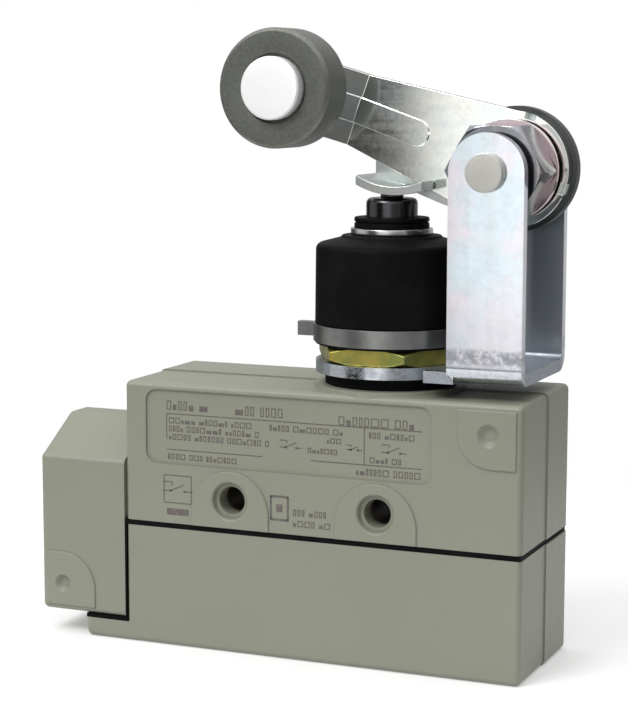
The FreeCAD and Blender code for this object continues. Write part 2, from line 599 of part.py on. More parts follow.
def make_gasket():
    """The rubber seal: a frame under the case, a sheet down the block's side and a strip under it."""
    inset = d.gasket_inset
    y_span = (FRONT + inset, REAR - inset)
    plate = box("gasket_plate", (BLOCK_RIGHT, d.case_right - inset), y_span, (SEAM_LOW, d.seam_top))
    side = box("gasket_side", (BLOCK_RIGHT, d.case_left), y_span, (d.block_floor, d.seam_top))
    strip = box("gasket_strip", (d.case_left - d.tongue_length + inset, d.case_left), y_span,
                (d.tongue_top, d.block_floor))
    room = box("gasket_room", (ROOM_LEFT, ROOM_RIGHT), (ROOM_FRONT, ROOM_REAR),
               (SEAM_LOW - OVERCUT, d.seam_top + OVERCUT))
    mouth = box("gasket_mouth", (BLOCK_RIGHT - OVERCUT, ROOM_LEFT + OVERCUT),
                (ROOM_FRONT + d.post_depth, ROOM_REAR - d.post_depth),
                (d.cover_bottom + d.floor_wall + d.mouth_sill, d.seam_top + OVERCUT))
    frame = less("gasket_frame", joined("gasket_blank", [plate, side, strip]), [room, mouth])
    pads = [rod("gasket_pad_%d" % number, d.post_radius, (x, y), "Z", (SEAM_LOW, d.seam_top))
            for number, (x, y) in enumerate(post_places())]
    holes = [rod("gasket_hole_%d" % number, d.screw_clear, (x, y), "Z",
                 (SEAM_LOW - OVERCUT, d.seam_top + OVERCUT))
             for number, (x, y) in enumerate(post_places())]
    return less("cover_gasket", joined("gasket_padded", [frame] + pads), holes)


def make_fasteners():
    """The cover screws, the earth screw and its washer."""
    head_high = d.cover_bottom + d.screw_recess
    cover_screws = [screw("cover_screw_%d" % number, d.screw_radius, d.screw_head_radius, (x, y),
                          head_high - d.screw_head_height, head_high, d.seam_top + d.screw_bite)
                    for number, (x, y) in enumerate(post_places())]
    centre = (d.earth_place, MIDDLE)
    washer_low = d.earth_boss_low - d.earth_washer
    return [group("cover_screws", cover_screws),
            ring("earth_washer", d.earth_head_radius, d.earth_radius + d.pin_clear, centre, "Z",
                 (washer_low, d.earth_boss_low)),
            screw("earth_screw", d.earth_radius, d.earth_head_radius, centre, washer_low - d.earth_head,
                  washer_low, d.earth_boss_low + d.earth_bite)]


def make_switch():
    """The snap-action switch: base, cover, pin, blade, contacts and screws."""
    half = d.switch_length / 2
    y_span = (SWITCH_FRONT, SWITCH_REAR)
    chamber_y = (SWITCH_FRONT + d.switch_wall, SWITCH_REAR - d.switch_wall)
    chamber_x = (-half + d.switch_wall, half - d.switch_wall)
    base = box("switch_base", (-half, half), y_span, (d.switch_low, d.switch_split))
    lid = box("switch_lid", (-half, half), y_span, (d.switch_split, d.switch_high))
    base_tools = [box("switch_base_room", chamber_x, chamber_y, (d.chamber_low, d.switch_split + OVERCUT))]
    for number, x in enumerate(HOLE_X):
        base_tools.append(rod("switch_hole_%d" % number, d.switch_hole, (x, as_size(0)), "Y",
                              (SWITCH_FRONT - OVERCUT, SWITCH_REAR + OVERCUT)))
    leg_y = (MIDDLE - d.leg_width / 2, MIDDLE + d.leg_width / 2)
    leg_places = [x + side * d.leg_offset for x, side in zip(TERMINAL_X, (-1, -1, 1))]
    for number, (x, leg) in enumerate(zip(TERMINAL_X, leg_places)):
        base_tools.append(rod("switch_shank_hole_%d" % number, d.screw_radius + d.thread_clear, (x, MIDDLE),
                              "Z", (d.switch_low - OVERCUT, d.switch_low + d.terminal_shank)))
        leg_x = (leg - d.strip_thick / 2, leg + d.strip_thick / 2)
        base_tools.append(box("switch_leg_slot_%d" % number, leg_x, leg_y,
                              (d.switch_low - OVERCUT, d.chamber_low + OVERCUT)))
    lid_tools = [box("switch_lid_room", chamber_x, chamber_y, (d.switch_split - OVERCUT, d.chamber_high)),
                 rod("switch_pin_hole", d.pin_radius + d.pin_clear, AXIS, "Z",
                     (d.chamber_high - OVERCUT, d.switch_high + OVERCUT))]
    parts = [less("switch_housing", base, base_tools), less("switch_cover", lid, lid_tools)]
    pin_rod = rod("switch_pin_rod", d.pin_radius, AXIS, "Z", (d.pin_low, d.pin_top))
    pin_flange = rod("switch_pin_flange", d.pin_flange_radius, AXIS, "Z",
                     (d.pin_flange_low, d.pin_flange_high))
    parts.append(joined("switch_pin", [pin_rod, pin_flange]))

    contact = (d.contact_place, MIDDLE)
    blade = box("blade_strip", (d.contact_place - d.contact_radius, d.blade_pivot),
                (MIDDLE - d.blade_width / 2, MIDDLE + d.blade_width / 2),
                (d.blade_low, d.blade_low + d.blade_thick))
    moving = rod("blade_contact", d.contact_radius, contact, "Z", (d.moving_low, d.moving_high))
    window = box("blade_window", (d.contact_place + d.window_near, d.axis_place - d.window_far),
                 (MIDDLE - d.window_half, MIDDLE + d.window_half),
                 (d.blade_low - OVERCUT, d.blade_low + OVERCUT))
    parts.append(joined("snap_blade", [less("blade_slotted", blade, [window]), moving]))

    plate_low = d.switch_low - d.terminal_thick
    strip_y = (MIDDLE - d.leg_width / 3, MIDDLE + d.leg_width / 3)
    tops = {"closed_terminal": d.closed_strip + d.strip_thick,
            "open_terminal": d.open_strip + d.strip_thick,
            "common_terminal": d.anchor_high}
    strips = {"closed_terminal": (leg_places[0], d.contact_place + d.contact_radius),
              "open_terminal": (d.contact_place - d.contact_radius, leg_places[1]),
              "common_terminal": (d.blade_pivot - d.anchor_reach, leg_places[2])}
    for (name, top), x, leg in zip(tops.items(), TERMINAL_X, leg_places):
        plate = box(name + "_plate", (x - d.terminal_size / 2, x + d.terminal_size / 2),
                    (MIDDLE - d.terminal_size / 2, MIDDLE + d.terminal_size / 2), (plate_low, d.switch_low))
        upright = box(name + "_leg", (leg - d.strip_thick / 2, leg + d.strip_thick / 2), leg_y,
                      (plate_low, top))
        strip = box(name + "_strip", strips[name], strip_y, (top - d.strip_thick, top))
        pieces = [plate, upright, strip]
        if name == "open_terminal":
            pieces.append(rod(name + "_contact", d.contact_radius, contact, "Z", (d.open_strip, d.open_face)))
        if name == "closed_terminal":
            pieces.append(rod(name + "_contact", d.contact_radius, contact, "Z",
                              (d.closed_face, d.closed_strip + d.strip_thick)))
        hole = rod(name + "_hole", d.screw_radius + d.pin_clear, (x, MIDDLE), "Z",
                   (plate_low - OVERCUT, d.switch_low + OVERCUT))
        parts.append(less(name, joined(name + "_blank", pieces), [hole]))
    washer_low = plate_low - d.terminal_washer
    washers = [ring("terminal_washer_%d" % number, d.terminal_washer_radius, d.screw_radius + d.pin_clear,
                    (x, MIDDLE), "Z", (washer_low, plate_low)) for number, x in enumerate(TERMINAL_X)]
    screws = [screw("terminal_screw_%d" % number, d.screw_radius, d.terminal_head_radius, (x, MIDDLE),
                    washer_low - d.terminal_head, washer_low,
                    d.switch_low + d.terminal_shank - d.terminal_room)
              for number, x in enumerate(TERMINAL_X)]
    return parts + [group("terminal_washers", washers), group("terminal_screws", screws)]


def make_neck():
    """The guide bushing with its seal, nut, boot, clamp band and clip ring."""
    wall = d.boot_wall
    bushing = [(d.neck_radius, d.neck_low), (d.neck_radius, d.collar_low), (d.collar_radius, d.collar_low),
               (d.collar_radius, d.collar_high), (d.tower_radius, d.collar_high),
               (d.tower_radius, d.tower_top - d.tower_chamfer),
               (d.tower_radius - d.tower_chamfer, d.tower_top),
               (d.guide_radius, d.tower_top), (d.guide_radius, d.guide_low),
               (d.spring_room_radius, d.guide_low), (d.spring_room_radius, d.neck_low)]
    seal_bore = d.neck_radius + d.pin_clear
    groove = d.clip_high + d.groove_place
    boot = [(d.collar_radius + d.pin_clear, d.boot_low), (d.band_radius - d.boot_hem, d.boot_low),
            (d.band_radius - d.boot_hem, d.band_low), (d.band_radius - d.band_thick, d.band_low),
            (d.band_radius - d.band_thick, d.band_high), (d.boot_radius, d.band_high + d.shoulder_low),
            (d.boot_top_radius, d.boot_shoulder - d.shoulder_drop),
            (d.boot_top_radius - d.shoulder_in, d.boot_shoulder - d.shoulder_low),
            (d.cone_low_radius, d.cone_low), (d.cone_high_radius, d.cone_high),
            (d.boot_neck_radius, d.cone_high + d.boot_step), (d.boot_neck_radius, d.clip_high),
            (d.bead_radius, d.clip_high), (d.bead_radius, groove - d.groove_half),
            (d.bead_radius - d.groove_depth, groove), (d.bead_radius, groove + d.groove_half),
            (d.bead_radius, d.bead_high), (d.plunger_radius + d.soft_gap, d.bead_high),
            (d.plunger_radius + d.soft_gap, d.cone_high - wall),
            (d.cone_high_radius, d.cone_high - wall), (d.cone_low_radius - wall, d.cone_low - wall),
            (d.boot_top_radius - wall, d.boot_shoulder - wall - d.shoulder_drop),
            (d.boot_radius - wall, d.collar_high + d.head_overlap),
            (d.collar_radius + d.pin_clear, d.collar_high)]
    band = ring("clamp_band_ring", d.band_radius, d.band_radius - d.band_thick, AXIS, "Z",
                (d.band_low, d.band_high))
    band_left = d.axis_place - d.band_radius
    ear = box("clamp_band_ear", (band_left - d.ear_length, band_left + d.ear_root),
              (MIDDLE - d.ear_thick / 2, MIDDLE + d.ear_thick / 2),
              (d.band_low + d.ear_lift, d.band_low + d.ear_height))
    return [turned("guide_bushing", bushing, *AXIS),
            ring("neck_seal", d.seal_radius, seal_bore, AXIS, "Z", (d.ring_top, d.plate_low)),
            hexagon("lock_nut", d.nut_flats, d.nut_round, seal_bore, AXIS, "Z", (d.nut_low, d.nut_high)),
            turned("boot", boot, *AXIS),
            joined("clamp_band", [band, ear]),
            ring("boot_ring", d.clip_radius, d.boot_neck_radius + d.soft_gap, AXIS, "Z",
                 (d.clip_low, d.clip_high))]


def make_plunger():
    """The plunger with its tip, the springs, the seat ring and the inner pusher."""
    flange_high = d.guide_low - d.flange_gap
    profile = [(d.plunger_bore, FLANGE_LOW), (d.flange_radius, FLANGE_LOW), (d.flange_radius, flange_high),
               (d.plunger_radius, flange_high), (d.plunger_radius, d.plunger_top - d.plunger_round)]
    steps = 4
    for step in range(1, steps + 1):
        angle = step * math.pi / 2 / steps
        profile.append((d.plunger_radius - d.plunger_round * (1 - math.cos(angle)),
                        d.plunger_top - d.plunger_round * (1 - math.sin(angle))))
    profile += [(0, d.plunger_top), (0, d.plunger_bore_top), (d.plunger_bore, d.plunger_bore_top)]
    seat_high = d.neck_low + d.seat_thick
    stem = rod("pusher_stem_rod", d.pusher_stem, AXIS, "Z",
               (d.pin_top + d.pin_clear, d.pusher_head_low + d.head_overlap))
    head = rod("pusher_head_rod", d.pusher_head, AXIS, "Z", (d.pusher_head_low, d.pusher_head_high))
    return [turned("plunger", profile, *AXIS),
            rod("plunger_tip", d.tip_radius, AXIS, "Z", (d.plunger_top, d.tip_top)),
            ring("spring_seat", d.spring_room_radius, d.seat_bore, AXIS, "Z", (d.neck_low, seat_high)),
            joined("inner_pusher", [stem, head]),
            spring("return_spring", d.return_wire, d.return_coil, AXIS, (seat_high, FLANGE_LOW), 4),
            spring("overtravel_spring", d.over_wire, d.over_coil, AXIS,
                   (d.pusher_head_high, d.plunger_bore_top), 6)]


def make_bracket():
    """The U bracket: a ring plate round the neck and two upright ears."""
    low, high = d.plate_low, d.plate_low + d.plate_thick
    left, right = d.pivot_place - d.bracket_round, d.pivot_place + d.bracket_round
    outline_low = box("bracket_blank", (left, right), (BRACKET_FRONT, BRACKET_REAR), (low, d.pivot_height))
    bent = rounded("bracket_bent", outline_low, d.bend_radius,
                   lambda at, way: abs(way.x) > 0.9 and at.z < low.value + 0.1)
    crown = rod("bracket_crown", d.bracket_round, PIVOT, "Y", (BRACKET_FRONT, BRACKET_REAR))
    gap = box("bracket_gap", (left - OVERCUT, right + OVERCUT),
              (BRACKET_FRONT + d.sheet, BRACKET_REAR - d.sheet),
              (high, d.pivot_height + d.bracket_round + OVERCUT))
    gap_round = rounded("bracket_gap_round", gap, d.bend_radius - d.sheet,
                        lambda at, way: abs(way.x) > 0.9 and at.z < high.value + 0.1)
    ears = less("bracket_ears", joined("bracket_solid", [bent, crown]), [gap_round])
    plate = box("bracket_plate", (d.plate_left, left + OVERCUT),
                (BRACKET_FRONT + d.plate_inset, BRACKET_REAR - d.plate_inset), (low, high))
    neck_ring = rod("bracket_ring", d.plate_radius, AXIS, "Z", (low, high))
    body = joined("bracket_body", [ears, plate, neck_ring])
    hole = rod("bracket_hole", d.neck_radius + d.running_gap, AXIS, "Z", (low - OVERCUT, high + OVERCUT))
    pin_hole = rod("bracket_pin_hole", d.pivot_radius, PIVOT, "Y",
                   (BRACKET_FRONT - OVERCUT, BRACKET_REAR + OVERCUT))
    pin = turned("pivot_pin", [(0, d.pivot_front), (d.pivot_radius - d.pivot_edge, d.pivot_front),
                               (d.pivot_radius, d.pivot_front + d.pivot_edge), (d.pivot_radius, d.pivot_rear),
                               (0, d.pivot_rear)], *PIVOT, axis="Y")
    return [less("bracket", body, [hole, pin_hole]), pin]


def make_hub():
    """What clamps the two levers together on the threaded hub."""
    hub = [(d.pivot_radius + d.running_gap, d.hub_front), (d.hub_radius, d.hub_front),
           (d.hub_radius, d.hub_flange_front), (d.hub_flange_radius, d.hub_flange_front),
           (d.hub_flange_radius, d.hub_rear), (d.pivot_radius + d.running_gap, d.hub_rear)]
    split = box("lock_washer_split", (d.pivot_place - d.split_half, d.pivot_place + d.split_half),
                (d.lock_front - OVERCUT, d.lock_rear + OVERCUT),
                (d.pivot_height, d.pivot_height + d.lock_radius + OVERCUT))
    lock = ring("lock_washer_ring", d.lock_radius, d.hub_radius, PIVOT, "Y", (d.lock_front, d.lock_rear))
    return [turned("lever_hub", hub, *PIVOT, axis="Y"),
            hexagon("pivot_nut", d.pivot_nut_flats, d.pivot_nut_round, d.hub_radius, PIVOT, "Y",
                    (d.pivot_nut_front, d.washer_front)),
            ring("pivot_washer", d.washer_radius, d.hub_radius, PIVOT, "Y", (d.washer_front, d.lock_front)),
            less("lock_washer", lock, [split])]


def make_foot_lever():
    """The foot lever: index disc, web and the curved foot over the plunger."""
    disc = rod("foot_disc", d.disc_radius, PIVOT, "Y", (d.disc_front, d.disc_front + d.disc_thick))
    left = d.foot_left + d.web_edge
    web_points = [(d.pivot_place, d.pivot_height + d.disc_radius),
                  (d.foot_left + d.web_high_across, d.pivot_height + d.web_high),
                  (left, d.pivot_height + d.web_shoulder), (left, d.foot_low + d.web_low),
                  (d.foot_centre - d.web_toe, d.foot_low + d.web_toe_rise),
                  (d.foot_centre, d.foot_low + d.web_sole_rise),
                  (d.foot_relief + d.web_heel, d.foot_low - d.web_heel_drop),
                  (d.pivot_place, d.pivot_height - d.disc_radius)]
    web = extruded("foot_web", "XZ_Plane", web_points, d.disc_front, d.disc_thick)
    centre = (d.foot_centre, d.foot_low + d.foot_curve)
    y_span = (d.foot_front, d.disc_front + d.disc_thick)
    arc = ring("foot_arc", d.foot_curve, d.foot_curve - d.foot_thick, centre, "Y", y_span)
    room = box("foot_room", (d.foot_left, d.foot_right), y_span,
               (d.foot_low - OVERCUT, d.foot_low + d.foot_room))
    relief = box("foot_relief_box", (d.foot_relief, d.foot_right + OVERCUT),
                 (d.foot_relief_front, d.disc_front),
                 (d.foot_low - 2 * OVERCUT, d.foot_low + d.foot_room + OVERCUT))
    foot = less("foot_plate", shared("foot_blank", arc, room), [relief])
    bore = rod("foot_bore", d.hub_radius, PIVOT, "Y",
               (d.disc_front - OVERCUT, d.disc_front + d.disc_thick + OVERCUT))
    return [less("foot_lever", joined("foot_body", [disc, web, foot]), [bore])]


def make_roller_lever():
    """The roller arm, drawn lying along -X from the pivot and then tilted up to its rest angle."""
    bend, ramp, joggle = d.arm_bend, d.arm_ramp, d.arm_joggle
    shift = d.arm_thick * math.tan(math.atan(0.5) / 2)
    far = d.arm_reach + d.arm_half_width + OVERCUT
    near = d.arm_hub_radius + OVERCUT
    height = 2 * (d.arm_hub_radius + OVERCUT)

    def sheet_profile(rise):
        front = [(near, -rise), (-bend, -rise), (-bend - ramp, -joggle - rise), (-far, -joggle - rise)]
        rear = [(-far, d.arm_thick - joggle), (-bend - ramp - shift, d.arm_thick - joggle),
                (-bend - shift, d.arm_thick), (near, d.arm_thick)]
        return front + rear

    def bent_sheet(name, rise):
        return extruded(name, "XY_Plane", sheet_profile(as_size(rise)), -height / 2, height)

    y_span = (-d.arm_joggle - 2 * OVERCUT, d.arm_thick + 2 * OVERCUT)
    hub = rod("arm_hub_outline", d.arm_hub_radius, (as_size(0), as_size(0)), "Y", y_span)
    taper = extruded("arm_taper", "XZ_Plane", [(0, d.arm_hub_radius), (-d.arm_bend, d.arm_half_width),
                                              (-d.arm_reach, d.arm_half_width),
                                              (-d.arm_reach, -d.arm_half_width),
                                              (-d.arm_bend, -d.arm_half_width), (0, -d.arm_hub_radius)],
                     y_span[0], y_span[1] - y_span[0])
    tip = rod("arm_tip", d.arm_half_width, (-d.arm_reach, as_size(0)), "Y", y_span)
    outline_solid = joined("arm_outline", [hub, taper, tip])
    plate = shared("arm_plate", outline_solid, bent_sheet("arm_sheet", 0))
    rib_round = rod("arm_rib_round", d.rib_half_width, (-d.rib_start - d.rib_half_width, as_size(0)), "Y",
                    y_span)
    rib_bar = box("arm_rib_bar", (-d.rib_end, -d.rib_start - d.rib_half_width), y_span,
                  (-d.rib_half_width, d.rib_half_width))
    rib = shared("arm_rib", joined("arm_rib_outline", [rib_round, rib_bar]),
                 bent_sheet("arm_rib_sheet", d.rib_rise))
    tools = [rod("arm_bore", d.hub_radius + d.running_gap, (as_size(0), as_size(0)), "Y", y_span),
             rod("arm_pin_hole", d.axle_tail_radius, (-d.arm_reach, as_size(0)), "Y", y_span)]
    half = d.notch_width / 2
    rim = d.arm_hub_radius - d.notch_depth
    edge = d.arm_hub_radius + OVERCUT
    tools.append(box("arm_notch_top", (-half, half), y_span, (rim, edge)))
    tools.append(box("arm_notch_low", (-half, half), y_span, (-edge, -rim)))
    tools.append(box("arm_notch_back", (rim, edge), y_span, (-half, half)))
    flat = less("arm_flat", joined("arm_blank", [plate, rib]), tools)
    holder = group("roller_lever", [flat])
    place(holder, d.pivot_place, d.arm_front, d.pivot_height)
    holder.setExpression("Placement.Rotation.Angle", d.arm_angle.text)
    holder.Placement.Rotation = Rotation(Vector(0, 1, 0), d.arm_angle.value)
    return [holder]


def make_roller():
    """The roller and its riveted axle, at the arm's end."""
    tilt = "(%s * 1 deg)" % d.arm_angle.text
    angle = math.radians(d.arm_angle.value)
    cosine = Size("cos%s" % tilt, math.cos(angle))
    sine = Size("sin%s" % tilt, math.sin(angle))
    centre = (d.pivot_place - d.arm_reach * cosine, d.pivot_height + d.arm_reach * sine)
    front, rear = d.roller_front, d.roller_front + d.roller_width
    floor = front + d.roller_recess
    bore = d.axle_radius + d.running_gap
    chamfer = d.roller_chamfer
    roller = [(bore, floor), (d.roller_recess_radius, floor), (d.roller_recess_radius, front + d.recess_edge),
              (d.roller_recess_radius + d.recess_edge, front), (d.roller_radius - chamfer, front),
              (d.roller_radius, front + chamfer), (d.roller_radius, rear - chamfer),
              (d.roller_radius - chamfer, rear), (bore, rear)]
    head_rear = floor - d.running_gap
    arm_face = TIP_REAR - d.arm_thick
    axle = [(0, d.axle_front), (d.axle_head_radius - d.axle_edge, d.axle_front),
            (d.axle_head_radius, d.axle_front + d.axle_edge), (d.axle_head_radius, head_rear),
            (d.axle_radius, head_rear), (d.axle_radius, arm_face), (d.axle_tail_radius, arm_face),
            (d.axle_tail_radius, TIP_REAR), (d.axle_rivet_radius, TIP_REAR),
            (d.axle_rivet_radius - d.rivet_taper, TIP_REAR + d.axle_rivet), (0, TIP_REAR + d.axle_rivet)]
    return [turned("roller", roller, *centre, axis="Y"), turned("roller_pin", axle, *centre, axis="Y")]


def check(parts):
    """Stops if any object of the document failed or any sub-part is empty or not valid."""
    failed = [item.Label for item in document.Objects if set(item.State) & {"Invalid", "Error"}]
    broken = [part.Label for part in parts if part.Shape.isNull() or not part.Shape.isValid()]
    hollow = [part.Label for part in parts if not part.Shape.Solids or part.Shape.Volume <= 0]
    if failed or broken or hollow:
        raise RuntimeError("failed %s, broken %s, without a solid %s" % (failed, broken, hollow))


def main():
    """Builds every sub-part and writes one STEP file for each."""
    parts = [make_case(), make_cover(), make_gasket()] + make_fasteners() + make_switch()
    parts += make_neck() + make_plunger() + make_bracket() + make_hub()
    parts += make_foot_lever() + make_roller_lever() + make_roller()
    document.recompute()
    check(parts)
    os.makedirs("parts", exist_ok=True)
    for part in parts:
        part.Shape.exportStep("parts/%s.step" % part.Label)
        print("%-20s %d solid(s) %10.2f mm3" % (part.Label, len(part.Shape.Solids), part.Shape.Volume))


main()
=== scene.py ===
"""Looks of a roller-lever limit switch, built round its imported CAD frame.

Metres, +Z up, +X away from the conduit end, +Y into the mounting surface.
Sizes given in millimetres are turned into metres where a mesh is made.
"""
import json
import logging
import math
import random
from dataclasses import dataclass, field
from enum import Enum
from typing import Any, Mapping, Optional, Protocol, Sequence, Union

import bmesh
import bpy
from bpy.types import Material, Mesh, NodeSocket, NodeTree, Object
from mathutils import Matrix, Vector


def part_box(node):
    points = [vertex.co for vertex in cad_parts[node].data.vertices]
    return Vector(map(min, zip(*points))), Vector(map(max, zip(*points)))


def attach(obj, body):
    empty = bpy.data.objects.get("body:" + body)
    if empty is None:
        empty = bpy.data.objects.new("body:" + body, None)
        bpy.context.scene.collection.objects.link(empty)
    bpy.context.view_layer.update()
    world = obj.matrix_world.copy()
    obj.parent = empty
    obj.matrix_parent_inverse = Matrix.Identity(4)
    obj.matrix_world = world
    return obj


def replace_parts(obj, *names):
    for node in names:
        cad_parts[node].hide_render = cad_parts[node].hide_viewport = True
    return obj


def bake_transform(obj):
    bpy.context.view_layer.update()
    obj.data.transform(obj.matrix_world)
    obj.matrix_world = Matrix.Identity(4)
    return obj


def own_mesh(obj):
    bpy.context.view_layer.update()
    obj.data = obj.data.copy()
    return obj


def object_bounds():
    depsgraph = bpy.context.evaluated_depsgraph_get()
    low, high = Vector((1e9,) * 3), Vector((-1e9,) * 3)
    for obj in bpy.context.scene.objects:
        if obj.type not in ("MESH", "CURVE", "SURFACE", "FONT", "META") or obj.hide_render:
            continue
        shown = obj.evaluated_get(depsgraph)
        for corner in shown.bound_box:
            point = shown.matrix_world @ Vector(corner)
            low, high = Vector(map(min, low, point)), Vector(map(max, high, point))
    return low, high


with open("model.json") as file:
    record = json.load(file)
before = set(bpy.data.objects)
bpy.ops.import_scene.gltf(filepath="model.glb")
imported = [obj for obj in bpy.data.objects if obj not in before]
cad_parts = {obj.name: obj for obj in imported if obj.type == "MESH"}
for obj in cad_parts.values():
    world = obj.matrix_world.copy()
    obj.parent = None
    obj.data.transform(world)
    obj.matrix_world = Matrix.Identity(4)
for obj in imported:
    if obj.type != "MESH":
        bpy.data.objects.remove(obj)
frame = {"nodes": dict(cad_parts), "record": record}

CAD_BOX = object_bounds()
LOG = logging.getLogger("limit_switch")
MM = 0.001
# Metres: points nearer to each other than this are one point.
MERGE = 1e-6
# Radians: faces that turn by less than FLAT are one face, and an edge that turns by more than SHARP is
# an edge. A corner of an outline that turns by less than twice STRAIGHT isn't rounded.
FLAT = math.radians(0.5)
SHARP = math.radians(32)
STRAIGHT = 0.01

Span = tuple[float, float]
Triple = tuple[float, float, float]
Row = tuple[float, float, float, float]
Colour = Triple
Place = Triple
Number = Union["Shade", float]


class Slot(Enum):
    """The record's material slots."""

    PAINT = "case_paint"
    SEAL = "seal_rubber"
    BOOT = "boot_rubber"
    SCREW = "zinc_screw"
    SHEET = "zinc_sheet"
    YELLOW_NUT = "yellow_nut"
    BAND = "band_steel"
    BUSHING = "bushing_steel"
    PLUNGER = "plunger_steel"
    BLACK = "black_steel"
    SPRING = "spring_steel"
    PHENOLIC = "phenolic"
    BRASS = "contact_brass"
    PIN = "pin_steel"
    RIVET = "bright_rivet"
    SINTERED = "sintered_steel"


class Axis(Enum):
    """The direction that a turned piece is turned about."""

    Y = "Y"
    Z = "Z"


# ---------------------------------------------------------------- shader sums


class Shade:
    """A shader socket that Python's operators work on."""

    def __init__(self, tree: NodeTree, socket: NodeSocket) -> None:
        """Keeps the socket and the tree that it is in."""
        self.tree = tree
        self.socket = socket

    @staticmethod
    def connect(tree: NodeTree, place: NodeSocket, value: Any) -> None:
        """Links a socket into a place, or sets the place to a plain value."""
        if isinstance(value, Shade):
            tree.links.new(value.socket, place)
        elif isinstance(value, tuple) and place.type == "RGBA":
            place.default_value = (*value, 1.0)
        else:
            place.default_value = value

    @classmethod
    def sum_of(cls, tree: NodeTree, operation: str, *values: Number) -> "Shade":
        """One Math node.

        Args:
            tree: The tree that the node goes in.
            operation: The Math node's operation.
            values: Numbers or sockets, in the node's order.

        Returns:
            The node's result.
        """
        node = tree.nodes.new("ShaderNodeMath")
        node.operation = operation
        for place, value in zip(node.inputs, values):
            cls.connect(tree, place, value)
        return cls(tree, node.outputs[0])

    def math(self, operation: str, *others: Number) -> "Shade":
        """A Math node whose first value is this one."""
        return self.sum_of(self.tree, operation, self, *others)

    def __add__(self, other: Number) -> "Shade":
        """This plus the other."""
        return self.math("ADD", other)

    __radd__ = __add__

    def __sub__(self, other: Number) -> "Shade":
        """This less the other."""
        return self.math("SUBTRACT", other)

    def __rsub__(self, other: Number) -> "Shade":
        """The other less this."""
        return self.sum_of(self.tree, "SUBTRACT", other, self)

    def __mul__(self, other: Number) -> "Shade":
        """This times the other."""
        return self.math("MULTIPLY", other)

    __rmul__ = __mul__


class Recipe:
    """A shader tree, made a node at a time."""

    def __init__(self, tree: NodeTree) -> None:
        """Empties the tree."""
        self.tree = tree
        tree.nodes.clear()

    def make(self, kind: str, settings: Optional[Mapping[str, Any]] = None,
             inputs: Optional[Mapping[Any, Any]] = None, output: Any = 0) -> Optional[Shade]:
        """Any node other than Math.

        Args:
            kind: The node's type, without its ShaderNode prefix.
            settings: Properties that are set before the sockets.
            inputs: Values or links by socket name or number.
            output: The socket that is handed back, or None at a tree's end.

        Returns:
            That socket.
        """
        node = self.tree.nodes.new("ShaderNode" + kind)
        for name, value in (settings or {}).items():
            setattr(node, name, value)
        for name, value in (inputs or {}).items():
            Shade.connect(self.tree, node.inputs[name], value)
        return None if output is None else Shade(self.tree, node.outputs[output])

    def where(self, scale: Sequence[float] = (1, 1, 1), centre: Sequence[float] = (0, 0, 0)) -> Shade:
        """Object coordinates about a centre, stretched by a scale."""
        spot = self.make("TexCoord", output="Object")
        shift = tuple(-place * factor for place, factor in zip(centre, scale))
        return self.make("Mapping", inputs={"Vector": spot, "Scale": tuple(scale), "Location": shift})

    def noise(self, scale: float, detail: float = 2.0, roughness: float = 0.5,
              spot: Optional[Shade] = None) -> Shade:
        """Noise from 0 to 1, on Object coordinates unless a spot is given."""
        spot = spot or self.where()
        return self.make("TexNoise", inputs={"Vector": spot, "Scale": scale, "Detail": detail,
                                             "Roughness": roughness}, output="Fac")

    def height(self, axis: str = "Z") -> Shade:
        """One Object coordinate."""
        return self.make("SeparateXYZ", inputs={"Vector": self.where()}, output=axis)

    def radius(self, centre: Sequence[float], keep: Sequence[float]) -> Shade:
        """The distance from a centre, counted only along the kept axes."""
        spot = self.where(keep, centre)
        return self.make("VectorMath", {"operation": "LENGTH"}, {0: spot}, output="Value")

    def step(self, value: Number, low: float, high: float) -> Shade:
        """A smooth step from 0 at low to 1 at high."""
        return self.make("MapRange", {"interpolation_type": "SMOOTHSTEP"},
                         {"Value": value, "From Min": low, "From Max": high})

    def band(self, value: Number, begins: Sequence[float], ends: Sequence[float]) -> Shade:
        """1 inside a stretch: it rises smoothly over begins and falls over ends."""
        return self.step(value, *begins) * (1 - self.step(value, *ends))

    def mix(self, share: Number, first: Any, second: Any) -> Shade:
        """A colour between two."""
        return self.make("Mix", {"data_type": "RGBA"}, {0: share, 6: first, 7: second}, output=2)

    def bump(self, rise: Shade, depth: float, strength: float = 1.0) -> Shade:
        """A bumped normal; depth is the height in metres of a rise of 1."""
        return self.make("Bump", inputs={"Strength": strength, "Distance": depth, "Height": rise})


class Surface(Recipe):
    """The recipe of one material, which ends in its surface shader."""

    def __init__(self, name: str) -> None:
        """Makes an empty material, named after its finish."""
        self.material = bpy.data.materials.new(name + "_finish")
        self.material.use_nodes = True
        super().__init__(self.material.node_tree)

    def close(self, colour: Any, roughness: Any, normal: Shade, **constants: Any) -> Material:
        """Ends the recipe.

        Args:
            colour: The base colour.
            roughness: The roughness.
            normal: The bumped normal.
            constants: Other sockets, with _ for a space.

        Returns:
            The material.
        """
        sockets = {"Base Color": colour, "Roughness": roughness, "Normal": normal}
        sockets.update({name.replace("_", " "): value for name, value in constants.items()})
        surface = self.make("BsdfPrincipled", inputs=sockets)
        self.make("OutputMaterial", inputs={"Surface": surface}, output=None)
        return self.material


# -------------------------------------------------------------------- finishes


class Finish(Protocol):
    """Anything that can make a material."""

    def material(self) -> Material:
        """The material."""


